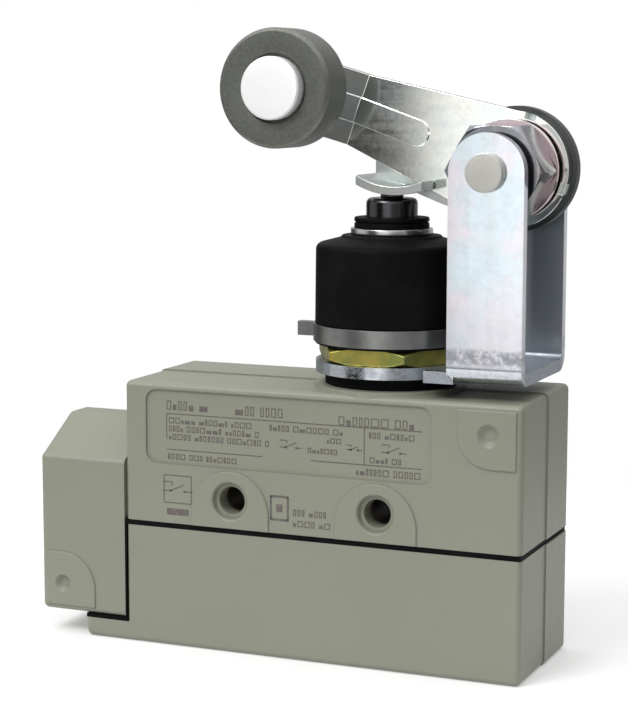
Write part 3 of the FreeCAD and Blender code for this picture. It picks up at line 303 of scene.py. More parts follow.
@dataclass(frozen=True)
class CastPaint:
    """Satin stoved paint over a die casting, with a fine orange peel."""

    name: str = "olive_grey_paint"
    dark: Colour = (0.185, 0.192, 0.150)
    light: Colour = (0.216, 0.224, 0.175)

    def material(self) -> Material:
        """The paint."""
        r = Surface(self.name)
        cloud = r.noise(55, 3)
        speck = r.noise(2600, 1)
        peel = r.noise(750, 2)
        grain = r.noise(3000, 1)
        colour = r.mix(cloud * 0.65 + speck * 0.35, self.dark, self.light)
        rough = 0.36 + peel * 0.12 + grain * 0.08
        normal = r.bump(peel * 0.8 + grain * 0.2, 0.000035, 0.7)
        return r.close(colour, rough, normal, Metallic=0.0, Specular_IOR_Level=0.45)


@dataclass(frozen=True)
class Ink:
    """Thin grey-brown pad printing."""

    name: str = "print_ink"
    dark: Colour = (0.088, 0.076, 0.070)
    light: Colour = (0.150, 0.138, 0.120)

    def material(self) -> Material:
        """The ink, thin in places."""
        r = Surface(self.name)
        cover = r.noise(1800, 3, 0.7)
        colour = r.mix(r.step(cover, 0.45, 0.8), self.dark, self.light)
        return r.close(colour, 0.45 + cover * 0.2, r.bump(cover, 0.000008))


@dataclass(frozen=True)
class Rubber:
    """Moulded black rubber."""

    name: str
    roughness: float
    base: Colour = (0.0028, 0.0030, 0.0034)
    bloom: Colour = (0.0065, 0.0068, 0.0074)
    grain: float = 1900

    def material(self) -> Material:
        """The rubber, with a faint bloom and a fine mould texture."""
        r = Surface(self.name)
        bloom = r.noise(130, 4, 0.6)
        grain = r.noise(self.grain, 2)
        colour = r.mix(r.step(bloom, 0.35, 0.8), self.base, self.bloom)
        rough = self.roughness + bloom * 0.16 + grain * 0.06
        return r.close(colour, rough, r.bump(grain, 0.00003, 0.6), Specular_IOR_Level=0.05)


@dataclass(frozen=True)
class PlatedSheet:
    """Bright zinc plating on rolled sheet: clear, faintly blue and pink, with rolling streaks.

    Places are metres; the stretches of the scuff and of the painted shade at the bend and low on the wall are
    millimetres above its height.
    """

    name: str
    base: Colour = (0.88, 0.92, 0.94)
    cool: Colour = (0.70, 0.88, 0.95)
    warm: Colour = (0.94, 0.82, 0.90)
    roll: Triple = (900.0, 900.0, 28.0)
    roughness: float = 0.08
    mottle: float = 0.22
    # Colour of the random blots, and also of the painted shade low on the wall.
    stain: Colour = (0.58, 0.62, 0.66)
    # Colour of the painted shade at the bend and between the walls.
    painted_shade: Colour = (0.36, 0.39, 0.43)
    black: Colour = (0.035, 0.036, 0.038)
    scuff_height: Optional[float] = None
    scuff_colour: Colour = (0.20, 0.21, 0.24)
    scuff_begins: Span = (-1.6, -0.2)
    scuff_ends: Span = (0.4, 1.9)
    # Millimetres above the scuff height where the painted shade at the bend ends, and where the painted shade
    # low on the wall ends.
    bend_shade_ends: Span = (-2.8, -0.8)
    low_shade_ends: Span = (1.0, 14.0)
    # Y of the front wall and the rear wall; painted shade goes between them.
    inner: Optional[Span] = None
    inner_edge: float = 0.0002
    dark_centre: Optional[Place] = None
    dark_begins: Span = (0.0088, 0.0092)
    dark_ends: Span = (0.0108, 0.0114)

    def material(self) -> Material:
        """The plating, with its scuff band, painted shade at the bend, low on the wall and between the walls,
        or a blackened rim where it has one.
        """
        r = Surface(self.name)
        streak = r.noise(1, 3, 0.6, r.where(self.roll))
        spot = r.noise(1500, 3, 0.65)
        tint = r.noise(95, 4, 0.6)
        colour = r.mix(r.step(tint, 0.36, 0.64), self.cool, self.warm)
        colour = r.mix(0.1 + streak * 0.5 + spot * 0.2, colour, self.base)
        blot = r.step(r.noise(420, 5, 0.7), 0.42, 0.66)
        look = r.mix(blot * self.mottle, colour, self.stain), self.roughness + streak * 0.07 + spot * 0.05
        if self.scuff_height is not None:
            look = self.scuffed_and_shaded(r, *look)
        if self.inner is not None:
            look = self.shade_inside(r, *look)
        if self.dark_centre is not None:
            look = self.blackened(r, *look)
        rise = streak * 0.6 + spot * 0.4
        return r.close(*look, r.bump(rise, 0.0000035, 0.5), Metallic=1.0)

    def scuffed_and_shaded(self, r: Surface, colour: Shade, rough: Shade) -> tuple[Shade, Shade]:
        """Paints shade on the bend, rubs a dark scuff band above it and paints shade low on the wall above
        that, darker towards the bottom.
        """
        above = (r.height("Z") - self.scuff_height) * (1 / MM)
        zone = r.band(above, self.scuff_begins, self.scuff_ends)
        # Painted shade: the bend is darkened, mottled by the scuff noise.
        bend = 1 - r.step(above, *self.bend_shade_ends)
        mark = r.step(r.noise(900, 5, 0.75), 0.34, 0.62)
        colour = r.mix(bend * (0.62 + mark * 0.36), colour, self.painted_shade)
        colour = r.mix(zone * mark * 0.85, colour, self.scuff_colour)
        # Painted shade: the wall is darkened towards the bottom.
        colour = r.mix((1 - r.step(above, *self.low_shade_ends)) * 0.45, colour, self.stain)
        return colour, rough + (zone + bend) * mark * 0.2

    def shade_inside(self, r: Surface, colour: Shade, rough: Shade) -> tuple[Shade, Shade]:
        """Paints shade on what lies between the front wall and the rear wall."""
        front, rear = self.inner
        # Painted shade inside the U, between the walls.
        inside = r.band(r.height("Y"), (front, front + self.inner_edge), (rear - self.inner_edge, rear))
        return r.mix(inside * 0.8, colour, self.painted_shade), rough + inside * 0.2

    def blackened(self, r: Surface, colour: Shade, rough: Shade) -> tuple[Shade, Shade]:
        """Blackens a ring about the dark centre."""
        rim = r.band(r.radius(self.dark_centre, (1, 0, 1)), self.dark_begins, self.dark_ends)
        return r.mix(rim * 0.93, colour, self.black), rough + rim * 0.15


@dataclass(frozen=True)
class TurnedSteel:
    """Steel turned in a lathe: fine rings about its axis."""

    name: str
    base: Colour
    shade: Colour
    centre: Place
    axis: Axis = Axis.Z
    roughness: float = 0.2
    metallic: float = 1.0
    pitch: float = 0.00012

    def material(self) -> Material:
        """The steel, with rings on its faces and bands along its sides."""
        r = Surface(self.name)
        keep = (1, 1, 0) if self.axis is Axis.Z else (1, 0, 1)
        rings = r.radius(self.centre, keep) + 0.35 * r.height(self.axis.value)
        turned = r.make("TexNoise", {"noise_dimensions": "1D"},
                        {"W": rings * (1 / self.pitch), "Scale": 0.5, "Detail": 3.0}, output="Fac")
        stain = r.noise(420, 4, 0.65)
        colour = r.mix(turned * 0.45 + stain * 0.45, self.shade, self.base)
        rough = self.roughness + turned * 0.12 + stain * 0.08
        return r.close(colour, rough, r.bump(turned, 0.000004, 0.5), Metallic=self.metallic)


@dataclass(frozen=True)
class YellowChromate:
    """Yellow chromate over zinc: olive gold with greenish and pinkish films."""

    name: str = "yellow_chromate"
    gold: Colour = (0.50, 0.42, 0.10)
    green: Colour = (0.30, 0.32, 0.09)
    pink: Colour = (0.62, 0.40, 0.22)

    def material(self) -> Material:
        """The chromated nut."""
        r = Surface(self.name)
        film = r.noise(260, 3, 0.6)
        edge = r.noise(700, 4, 0.7)
        tool = r.noise(1, 2, 0.5, r.where((60, 60, 3500)))
        colour = r.mix(r.step(film, 0.38, 0.66), self.green, self.gold)
        colour = r.mix(r.step(edge, 0.58, 0.78) * 0.55, colour, self.pink)
        rough = 0.24 + edge * 0.14 + tool * 0.08
        return r.close(colour, rough, r.bump(tool * 0.6 + edge * 0.4, 0.000008), Metallic=0.95)


@dataclass(frozen=True)
class SinteredSteel:
    """Oil-soaked sintered steel: dark, faintly green, and pitted; its front chamfer is painted lighter, a
    painted highlight, and is smoother.
    """

    centre: Place
    rim: float
    front: float
    name: str = "sintered_steel"
    chamfer: float = 0.00065
    edge: float = 0.00035
    dark: Colour = (0.084, 0.089, 0.079)
    light: Colour = (0.156, 0.162, 0.147)
    # Colour of the painted highlight on the front chamfer.
    chamfer_highlight: Colour = (0.36, 0.37, 0.33)

    def material(self) -> Material:
        """The roller's steel."""
        r = Surface(self.name)
        pore = r.make("TexVoronoi", inputs={"Vector": r.where(), "Scale": 3200.0}, output="Distance")
        grain = r.noise(2100, 4, 0.7)
        cloud = r.noise(240, 3)
        out = r.radius(self.centre, (1, 0, 1))
        # Painted highlight: the outer chamfer of the front face only is made lighter and smoother.
        near = 1 - r.step(r.height("Y"), self.front + 0.0004, self.front + 0.0008)
        chamfer_highlight = r.step(out, self.rim - self.chamfer, self.rim - self.edge) * near
        colour = r.mix(r.step(grain, 0.2, 0.8) * 0.7 + cloud * 0.3, self.dark, self.light)
        colour = r.mix(chamfer_highlight * grain * 0.45, colour, self.chamfer_highlight)
        rough = 0.40 + grain * 0.16 - chamfer_highlight * 0.1
        rise = grain * 0.6 + r.step(pore, 0.05, 0.4) * 0.4
        return r.close(colour, rough, r.bump(rise, 0.000018, 0.8), Metallic=0.55)


@dataclass(frozen=True)
class Moulding:
    """Moulded phenolic with mineral flecks."""

    name: str = "phenolic"
    base: Colour = (0.030, 0.018, 0.012)
    fleck: Colour = (0.085, 0.055, 0.035)

    def material(self) -> Material:
        """The moulding."""
        r = Surface(self.name)
        fleck = r.noise(1600, 4, 0.7)
        flow = r.noise(1, 3, 0.5, r.where((90, 300, 300)))
        colour = r.mix(r.step(fleck, 0.5, 0.75) * 0.6 + flow * 0.2, self.base, self.fleck)
        return r.close(colour, 0.32 + flow * 0.2, r.bump(fleck, 0.00001))


@dataclass(frozen=True)
class PlainMetal:
    """A drawn or stamped metal with a light tarnish and fine scratches."""

    name: str
    base: Colour
    tarnish: Colour
    roughness: float = 0.25
    scratch: Triple = (60.0, 60.0, 2600.0)
    metallic: float = 1.0

    def material(self) -> Material:
        """The metal."""
        r = Surface(self.name)
        scratch = r.noise(1, 4, 0.7, r.where(self.scratch))
        tarnish = r.noise(320, 4, 0.6)
        colour = r.mix(r.step(tarnish, 0.4, 0.8) * 0.6 + scratch * 0.3, self.base, self.tarnish)
        rough = self.roughness + scratch * 0.14 + tarnish * 0.06
        return r.close(colour, rough, r.bump(scratch, 0.000006, 0.6), Metallic=self.metallic)


@dataclass(frozen=True)
class Backdrop:
    """Matt white paper for the floor."""

    name: str = "paper"
    glow: float = 0.22

    def material(self) -> Material:
        """The paper."""
        r = Surface(self.name)
        fibre = r.noise(90, 4)
        colour = r.mix(fibre, (0.64, 0.64, 0.64), (0.68, 0.68, 0.68))
        return r.close(colour, 0.9, r.bump(fibre, 0.00002), Emission_Color=(1.0, 1.0, 1.0),
                       Emission_Strength=self.glow, Specular_IOR_Level=0.1)


# ---------------------------------------------------------------------- meshes


def centre_of(node: str) -> Place:
    """The middle of a CAD node's box."""
    low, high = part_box(node)
    return tuple((low + high) / 2)


def body_of(node: str) -> str:
    """The CAD body that a node belongs to."""
    bodies = frame["record"]["behaviour"]["bodies"]
    return next(body for body, members in bodies.items() if node in members)


def link(name: str, mesh: Mesh) -> Object:
    """Puts a mesh in the scene under a name."""
    mesh.name = name
    piece = bpy.data.objects.new(name, mesh)
    bpy.context.scene.collection.objects.link(piece)
    return piece


def settle(piece: Object) -> Object:
    """Turns a piece's live modifiers into plain mesh."""
    bpy.context.view_layer.update()
    graph = bpy.context.evaluated_depsgraph_get()
    mesh = bpy.data.meshes.new_from_object(piece.evaluated_get(graph))
    old = piece.data
    piece.modifiers.clear()
    piece.data = mesh
    mesh.name = piece.name
    bpy.data.meshes.remove(old)
    return piece


def soften(piece: Object, edge: float, sharp: float = SHARP) -> Object:
    """Rounds a piece's sharp edges and keeps its flats flat.

    Args:
        piece: A closed mesh.
        edge: The width of the rounding, in metres; 0 leaves the edges sharp.
        sharp: The smallest angle, in radians, that counts as an edge.

    Returns:
        The piece.
    """
    piece.data.shade_smooth()
    if edge:
        bevel = piece.modifiers.new("edge", "BEVEL")
        bevel.width = edge
        bevel.segments = 2
        bevel.limit_method = "ANGLE"
        bevel.angle_limit = sharp
    else:
        piece.data.set_sharp_from_angle(angle=sharp)
    weigh = piece.modifiers.new("weigh", "WEIGHTED_NORMAL")
    weigh.keep_sharp = True
    return settle(piece)


def copy_of(node: str, edge: float, sharp: float = SHARP) -> Object:
    """A CAD node's shape, merged, with its machined edges broken."""
    mesh = frame["nodes"][node].data.copy()
    mesh.materials.clear()
    grid = bmesh.new()
    grid.from_mesh(mesh)
    bmesh.ops.remove_doubles(grid, verts=grid.verts, dist=MERGE)
    bmesh.ops.dissolve_limit(grid, angle_limit=FLAT, verts=grid.verts, edges=grid.edges)
    grid.to_mesh(mesh)
    grid.free()
    return soften(link(node + "_finished", mesh), edge, sharp)


def outline_of(corners: Sequence[Triple], steps: int = 5) -> list[Vector]:
    """An open outline whose inner corners are rounded.

    Args:
        corners: (radius, place along the axis, rounding), in millimetres.
        steps: Points that each rounding is divided by.

    Returns:
        Points in metres, as (radius, place).
    """
    points = [Vector((radius, along)) * MM for radius, along, _ in corners]
    made = [points[0]]
    for before, point, after, corner in zip(points, points[1:], points[2:], corners[1:]):
        rounding = corner[2] * MM
        back, on = (before - point).normalized(), (after - point).normalized()
        half = back.angle(on) / 2
        if not rounding or half > math.pi / 2 - STRAIGHT:
            made.append(point)
            continue
        reach = rounding / math.tan(half)
        middle = point + (back + on).normalized() * rounding / math.sin(half)
        start, end = point + back * reach - middle, point + on * reach - middle
        made += [middle + start.slerp(end, step / steps) * rounding for step in range(steps + 1)]
    return made + [points[-1]]


@dataclass
class Lathe:
    """A piece turned about an axis from an outline."""

    name: str
    corners: Sequence[Triple]
    centre: Sequence[float]
    axis: Axis = Axis.Z
    closed: bool = False
    turns: int = 128

    def point(self, radius: float, along: float, share: float) -> Vector:
        """A point of the turned surface."""
        angle = share * 2 * math.pi
        across, up = radius * math.cos(angle), radius * math.sin(angle)
        if self.axis is Axis.Z:
            return Vector((self.centre[0] + across, self.centre[1] + up, along))
        return Vector((self.centre[0] + across, along, self.centre[2] + up))

    def build(self) -> Object:
        """The turned piece, with outward faces and soft shading."""
        outline = outline_of(self.corners)
        grid = bmesh.new()
        rings = []
        for radius, along in outline:
            count = self.turns if radius > MERGE else 1
            places = [self.point(radius, along, step / self.turns) for step in range(count)]
            rings.append([grid.verts.new(place) for place in places])
        pairs = list(zip(rings, rings[1:]))
        if self.closed:
            pairs.append((rings[-1], rings[0]))
        for low, high in pairs:
            for step in range(self.turns):
                after = step + 1
                corners = [low[step % len(low)], low[after % len(low)],
                           high[after % len(high)], high[step % len(high)]]
                grid.faces.new(list(dict.fromkeys(corners)))
        bmesh.ops.remove_doubles(grid, verts=grid.verts, dist=MERGE)
        bmesh.ops.recalc_face_normals(grid, faces=grid.faces)
        mesh = bpy.data.meshes.new(self.name)
        grid.to_mesh(mesh)
        grid.free()
        mesh.shade_smooth()
        mesh.set_sharp_from_angle(angle=SHARP)
        return link(self.name, mesh)


class GrowthTree:
    """A Geometry Nodes tree with named sizes."""

    def __init__(self, name: str, sizes: Mapping[str, Union[int, float]]) -> None:
        """Makes the tree's sockets.

        Args:
            name: The tree's name.
            sizes: Each size's name and usual value; a whole number makes a whole-number socket.
        """
        self.tree = bpy.data.node_groups.new(name, "GeometryNodeTree")
        face = self.tree.interface
        face.new_socket("Geometry", in_out="INPUT", socket_type="NodeSocketGeometry")
        face.new_socket("Geometry", in_out="OUTPUT", socket_type="NodeSocketGeometry")
        self.identifiers = {}
        for size, value in sizes.items():
            kind = "NodeSocketInt" if isinstance(value, int) else "NodeSocketFloat"
            socket = face.new_socket(size, in_out="INPUT", socket_type=kind)
            socket.default_value = value
            self.identifiers[size] = socket.identifier
        self.source = self.tree.nodes.new("NodeGroupInput")

    def size(self, name: str) -> NodeSocket:
        """One of the tree's named inputs."""
        return self.source.outputs[name]

    def add(self, kind: str, settings: Optional[Mapping[str, Any]] = None,
            inputs: Optional[Mapping[str, Any]] = None, output: Any = 0) -> NodeSocket:
        """A node.

        Args:
            kind: The node's type, without its GeometryNode prefix where it has one.
            settings: Its properties.
            inputs: Its sockets' values or links.
            output: The socket that is handed back.

        Returns:
            That socket.
        """
        prefix = "" if kind.startswith(("Shader", "Function")) else "GeometryNode"
        node = self.tree.nodes.new(prefix + kind)
        for name, value in (settings or {}).items():
            setattr(node, name, value)
        for name, value in (inputs or {}).items():
            if isinstance(value, NodeSocket):
                self.tree.links.new(value, node.inputs[name])
            else:
                node.inputs[name].default_value = value
        return node.outputs[output]

    def close(self, geometry: NodeSocket, material: Material) -> None:
        """Ends the tree in Realize Instances and Set Material."""
        real = self.add("RealizeInstances", inputs={"Geometry": geometry})
        dressed = self.add("SetMaterial", inputs={"Geometry": real, "Material": material})
        drain = self.tree.nodes.new("NodeGroupOutput")
        self.tree.links.new(dressed, drain.inputs[0])

    def grow(self, base: Object, sizes: Mapping[str, Union[int, float]]) -> Object:
        """Runs the tree on a base and leaves its result as the base's plain mesh."""
        modifier = base.modifiers.new("growth", "NODES")
        modifier.node_group = self.tree
        for name, value in sizes.items():
            modifier[self.identifiers[name]] = value
        return settle(base)


class Workshop:
    """Dresses pieces and puts them on their bodies."""

    def __init__(self, finishes: Mapping[Slot, Finish]) -> None:
        """Makes one material for each slot that has a usual finish."""
        self.materials = {slot: finish.material() for slot, finish in finishes.items()}

    def fit(self, piece: Object, slot: Slot, *nodes: str,
            finish: Optional[Finish] = None, body: Optional[str] = None) -> Object:
        """Dresses a piece and lets it ride.

        Args:
            piece: The finished piece.
            slot: The record's slot that it takes its finish from.
            nodes: The CAD nodes that it stands for.
            finish: A finish of its own, in place of the slot's.
            body: The body that it rides on, if it stands for no node.

        Returns:
            The piece.
        """
        self.dress(piece, slot, finish)
        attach(piece, body or body_of(nodes[0]))
        if nodes:
            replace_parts(piece, *nodes)
        return piece

    def fit_copy(self, node: str, slot: Slot, edge: float = 0.0, finish: Optional[Finish] = None,
                 sharp: float = SHARP) -> Object:
        """Fits a copy of a CAD node, with edges broken by a width in millimetres."""
        return self.fit(copy_of(node, edge * MM, sharp), slot, node, finish=finish)

    def dress(self, piece: Object, slot: Slot, finish: Optional[Finish] = None) -> None:
        """Gives a piece its slot's material, or its own finish's, and reports it."""
        material = finish.material() if finish else self.materials[slot]
        piece.data.materials.clear()
        piece.data.materials.append(material)
        LOG.info("%s: %s, %d faces", piece.name, material.name, len(piece.data.polygons))


def empty_mesh(name: str) -> Object:
    """A piece with nothing in it, for a tree that makes its own geometry."""
    return link(name, bpy.data.meshes.new(name))


def coil_tree(material: Material) -> GrowthTree:
    """A round wire wound about Z: a spring or the crests of a thread."""
    tree = GrowthTree("coil", {"Turns": 4.0, "Radius": 0.005, "Rise": 0.01, "Wire": 0.0005,
                               "Steps": 32, "Sides": 8})
    line = tree.add("CurveSpiral", inputs={
        "Resolution": tree.size("Steps"), "Rotations": tree.size("Turns"),
        "Start Radius": tree.size("Radius"), "End Radius": tree.size("Radius"),
        "Height": tree.size("Rise")})
    wire = tree.add("CurvePrimitiveCircle", inputs={"Resolution": tree.size("Sides"),
                                                    "Radius": tree.size("Wire")})
    tube = tree.add("CurveToMesh", inputs={"Curve": line, "Profile Curve": wire, "Fill Caps": True})
    tree.close(tree.add("SetShadeSmooth", inputs={"Geometry": tube}), material)
    return tree


def mark_tree(material: Material) -> GrowthTree:
    """Flat bars of ink, one on each point, as long and tall as the point's size attribute says."""
    tree = GrowthTree("marks", {"Thickness": 0.00002})
    bar = tree.add("MeshCube", inputs={"Size": (1.0, 1.0, 1.0)})
    size = tree.add("InputNamedAttribute", {"data_type": "FLOAT_VECTOR"}, {"Name": "size"})
    parts = tree.tree.nodes.new("ShaderNodeSeparateXYZ")
    tree.tree.links.new(size, parts.inputs[0])
    scale = tree.add("ShaderNodeCombineXYZ", inputs={"X": parts.outputs[0], "Y": tree.size("Thickness"),
                                                     "Z": parts.outputs[2]})
    turn = tree.add("InputNamedAttribute", {"data_type": "FLOAT_VECTOR"}, {"Name": "turn"})
    bars = tree.add("InstanceOnPoints", inputs={"Points": tree.source.outputs["Geometry"], "Instance": bar,
                                                "Scale": scale, "Rotation": turn})
    tree.close(bars, material)
    return tree


# --------------------------------------------------------------- sub-assemblies


@dataclass
class PrintedMarks:
    """The print on the front: rows of blank text, ruled lines and contact symbols.

    Sizes are millimetres from the middle between the mounting holes.
    """

    panel_depth: float = 0.35
    pad_rise: float = 0.3
    thickness: float = 0.02
    rule: float = 0.19
    seed: int = 7
    widths: Row = (0.42, 0.55, 0.7, 0.95)
    block_share: float = 0.25
    block_height: float = 0.6
    gap: float = 0.2
    space: float = 0.5
    margin: float = 0.7
    word: tuple[int, int] = (3, 8)
    rows: Sequence[Row] = (
        (-24.3, -16.4, 15.1, 1.55), (-11.9, -2.2, 15.0, 1.55), (6.2, 20.2, 14.55, 1.45),
        (-23.9, -8.2, 12.6, 1.0), (-5.8, 7.8, 12.6, 1.0), (-23.9, -6.8, 11.25, 1.0),
        (4.2, 7.2, 11.2, 0.9), (-23.9, -5.4, 9.9, 1.0), (0.9, 6.6, 9.4, 0.9), (11.4, 19.9, 12.55, 1.0),
        (11.5, 17.2, 8.6, 0.95), (-24.1, -10.6, 6.6, 0.95), (9.2, 20.1, 6.6, 1.1))
    lower_rows: Sequence[Row] = ((-1.5, 5.3, -0.9, 1.05), (-1.5, 5.3, -2.7, 1.05))
    rules: Sequence[Triple] = ((-24.3, 20.3, 13.7), (-24.3, -7.0, 7.75), (1.4, 20.3, 7.75))
    uprights: Sequence[Triple] = ((10.6, 7.75, 13.7), (-24.3, 9.4, 13.7))
    panel_symbols: Sequence[Triple] = ((-2.0, 9.6, 1.5), (8.9, 10.0, 1.0), (15.6, 10.0, 1.6))
    low_symbol: Triple = (-22.2, 0.9, 2.0)
    low_blocks: Sequence[Row] = ((-22.2, -2.6, 4.0, 1.1), (-3.9, -0.4, 1.1, 1.3))
    low_borders: Sequence[tuple[Span, Span, Span, int]] = (
        ((-22.2, 1.2), (5.0, 4.6), (5.0, 4.6), 1), ((-3.9, -0.4), (3.0, 3.8), (3.2, 3.8), 2))
    bars: list[tuple[float, float, float, float, float, float]] = field(default_factory=list)

    def bar(self, x: float, y: float, z: float, width: float, height: float, turn: float = 0.0) -> None:
        """Adds one bar of ink about its middle."""
        self.bars.append((x, y, z, width, height, turn))

    def border(self, middle: Place, apart: Span, reach: Span, line: float) -> None:
        """Adds four bars round a middle.

        Args:
            middle: The place that they go round.
            apart: The distance between the uprights and between the level bars.
            reach: The level bars' length and the uprights' height.
            line: The width of every bar.
        """
        x, y, z = middle
        for side in (-0.5, 0.5):
            self.bar(x + side * apart[0], y, z, line, reach[1])
            self.bar(x, y, z + side * apart[1], reach[0], line)

    def text_row(self, left: float, right: float, level: float, tall: float, y: float,
                 pick: random.Random) -> None:
        """Adds a row of boxes and blocks in word-like groups, which spell nothing."""
        across = left
        in_word = pick.randint(*self.word)
        while across < right - tall * self.margin:
            wide = tall * pick.choice(self.widths)
            middle = across + wide / 2
            if pick.random() < self.block_share:
                self.bar(middle, y, level + tall * self.block_height / 2, wide, tall * self.block_height)
            else:
                self.border((middle, y, level + tall / 2), (wide - self.rule, tall - self.rule),
                            (wide - 2 * self.rule, tall), self.rule)
            across += wide + tall * self.gap
            in_word -= 1
            if in_word == 0:
                across += tall * self.space
                in_word = pick.randint(*self.word)

    def contact_symbol(self, x: float, y: float, z: float, reach: float) -> None:
        """Adds two terminals and a slanting blade; reach is half the symbol's width."""
        for side in (-1, 1):
            self.bar(x + side * reach, y, z, reach * 0.7, self.rule)
            self.bar(x + side * reach * 0.62, y, z, self.rule * 2, self.rule * 2)
        self.bar(x, y, z + reach * 0.3, reach * 1.35, self.rule, math.radians(-24))
        self.bar(x - reach * 0.9, y, z + reach * 0.75, reach * 0.8, self.rule)
        self.bar(x - reach * 0.5, y, z + reach * 0.6, self.rule, reach * 0.3)

    def build(self, shop: Workshop) -> Object:
        """Prints every mark as one piece."""
        pick = random.Random(self.seed)
        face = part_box("case")[0].y / MM + self.pad_rise
        sunk = face + self.panel_depth
        for left, right, level, tall in self.rows:
            self.text_row(left, right, level - tall / 2, tall, sunk, pick)
        for left, right, level, tall in self.lower_rows:
            self.text_row(left, right, level - tall / 2, tall, face, pick)
        for left, right, level in self.rules:
            self.bar((left + right) / 2, sunk, level, right - left, self.rule)
        for x, low, high in self.uprights:
            self.bar(x, sunk, (low + high) / 2, self.rule, high - low)
        for x, level, reach in self.panel_symbols:
            self.contact_symbol(x, sunk, level, reach)
        x, level, reach = self.low_symbol
        self.contact_symbol(x, face, level, reach)
        for x, level, wide, tall in self.low_blocks:
            self.bar(x, face, level, wide, tall)
        for (x, level), apart, reach, lines in self.low_borders:
            self.border((x, face, level), apart, reach, self.rule * lines)
        mesh = bpy.data.meshes.new("printed_marks")
        mesh.from_pydata([(x * MM, y * MM, z * MM) for x, y, z, *_ in self.bars], [], [])
        size = mesh.attributes.new("size", "FLOAT_VECTOR", "POINT")
        turn = mesh.attributes.new("turn", "FLOAT_VECTOR", "POINT")
        for index, (_, _, _, width, height, angle) in enumerate(self.bars):
            size.data[index].vector = (width * MM, 0.0, height * MM)
            turn.data[index].vector = (0.0, angle, 0.0)
        piece = link("printed_marks", mesh)
        ink = Ink()
        mark_tree(ink.material()).grow(piece, {"Thickness": self.thickness * MM})
        return shop.fit(piece, Slot.PAINT, finish=ink, body="case")


@dataclass
class Enclosure:
    """The die-cast case, its terminal cover, the seal between them and their fasteners."""

    edge: float = 0.07
    screw_edge: float = 0.08
    thread_pitch: float = 1.814
    thread_crest: float = 0.28
    thread_lead: float = 0.7
    thread_steps: int = 72
    thread_sides: int = 6
    conduit_radius: float = 9.32
    conduit_height: float = -2.0
    conduit_depth: float = 10.6

    def build(self, shop: Workshop) -> None:
        """Makes and dresses the enclosure."""
        for node in ("case", "cover"):
            shop.fit_copy(node, Slot.PAINT, self.edge)
        shop.fit_copy("cover_gasket", Slot.SEAL)
        for node in ("cover_screws", "earth_screw", "earth_washer"):
            shop.fit_copy(node, Slot.SCREW, self.screw_edge)
        self.build_thread(shop)
        PrintedMarks().build(shop)

    def build_thread(self, shop: Workshop) -> Object:
        """The conduit entry's thread, as crests standing in its bore."""
        piece = empty_mesh("conduit_thread")
        turns = self.conduit_depth / self.thread_pitch
        coil_tree(shop.materials[Slot.PAINT]).grow(piece, {
            "Turns": turns, "Radius": self.conduit_radius * MM, "Rise": self.conduit_depth * MM,
            "Wire": self.thread_crest * MM, "Steps": self.thread_steps, "Sides": self.thread_sides})
        mouth = Vector((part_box("case")[0].x + self.thread_lead * MM, centre_of("guide_bushing")[1],
                        self.conduit_height * MM))
        piece.data.transform(Matrix.Translation(mouth) @ Matrix.Rotation(math.pi / 2, 4, "Y"))
        return shop.fit(piece, Slot.PAINT, body="case")


@dataclass
class InnerSwitch:
    """The snap-action switch inside the case; its CAD shapes stay and get their finishes."""

    finishes: Mapping[str, Slot] = field(default_factory=lambda: {
        "switch_housing": Slot.PHENOLIC, "switch_cover": Slot.PHENOLIC, "switch_pin": Slot.PHENOLIC,
        "closed_terminal": Slot.BRASS, "open_terminal": Slot.BRASS, "common_terminal": Slot.BRASS,
        "snap_blade": Slot.BRASS, "terminal_washers": Slot.SCREW, "terminal_screws": Slot.SCREW,
        "inner_pusher": Slot.PLUNGER, "spring_seat": Slot.BUSHING})

    def build(self, shop: Workshop) -> None:
        """Dresses the inner pieces."""
        for node, slot in self.finishes.items():
            shop.dress(frame["nodes"][node], slot)


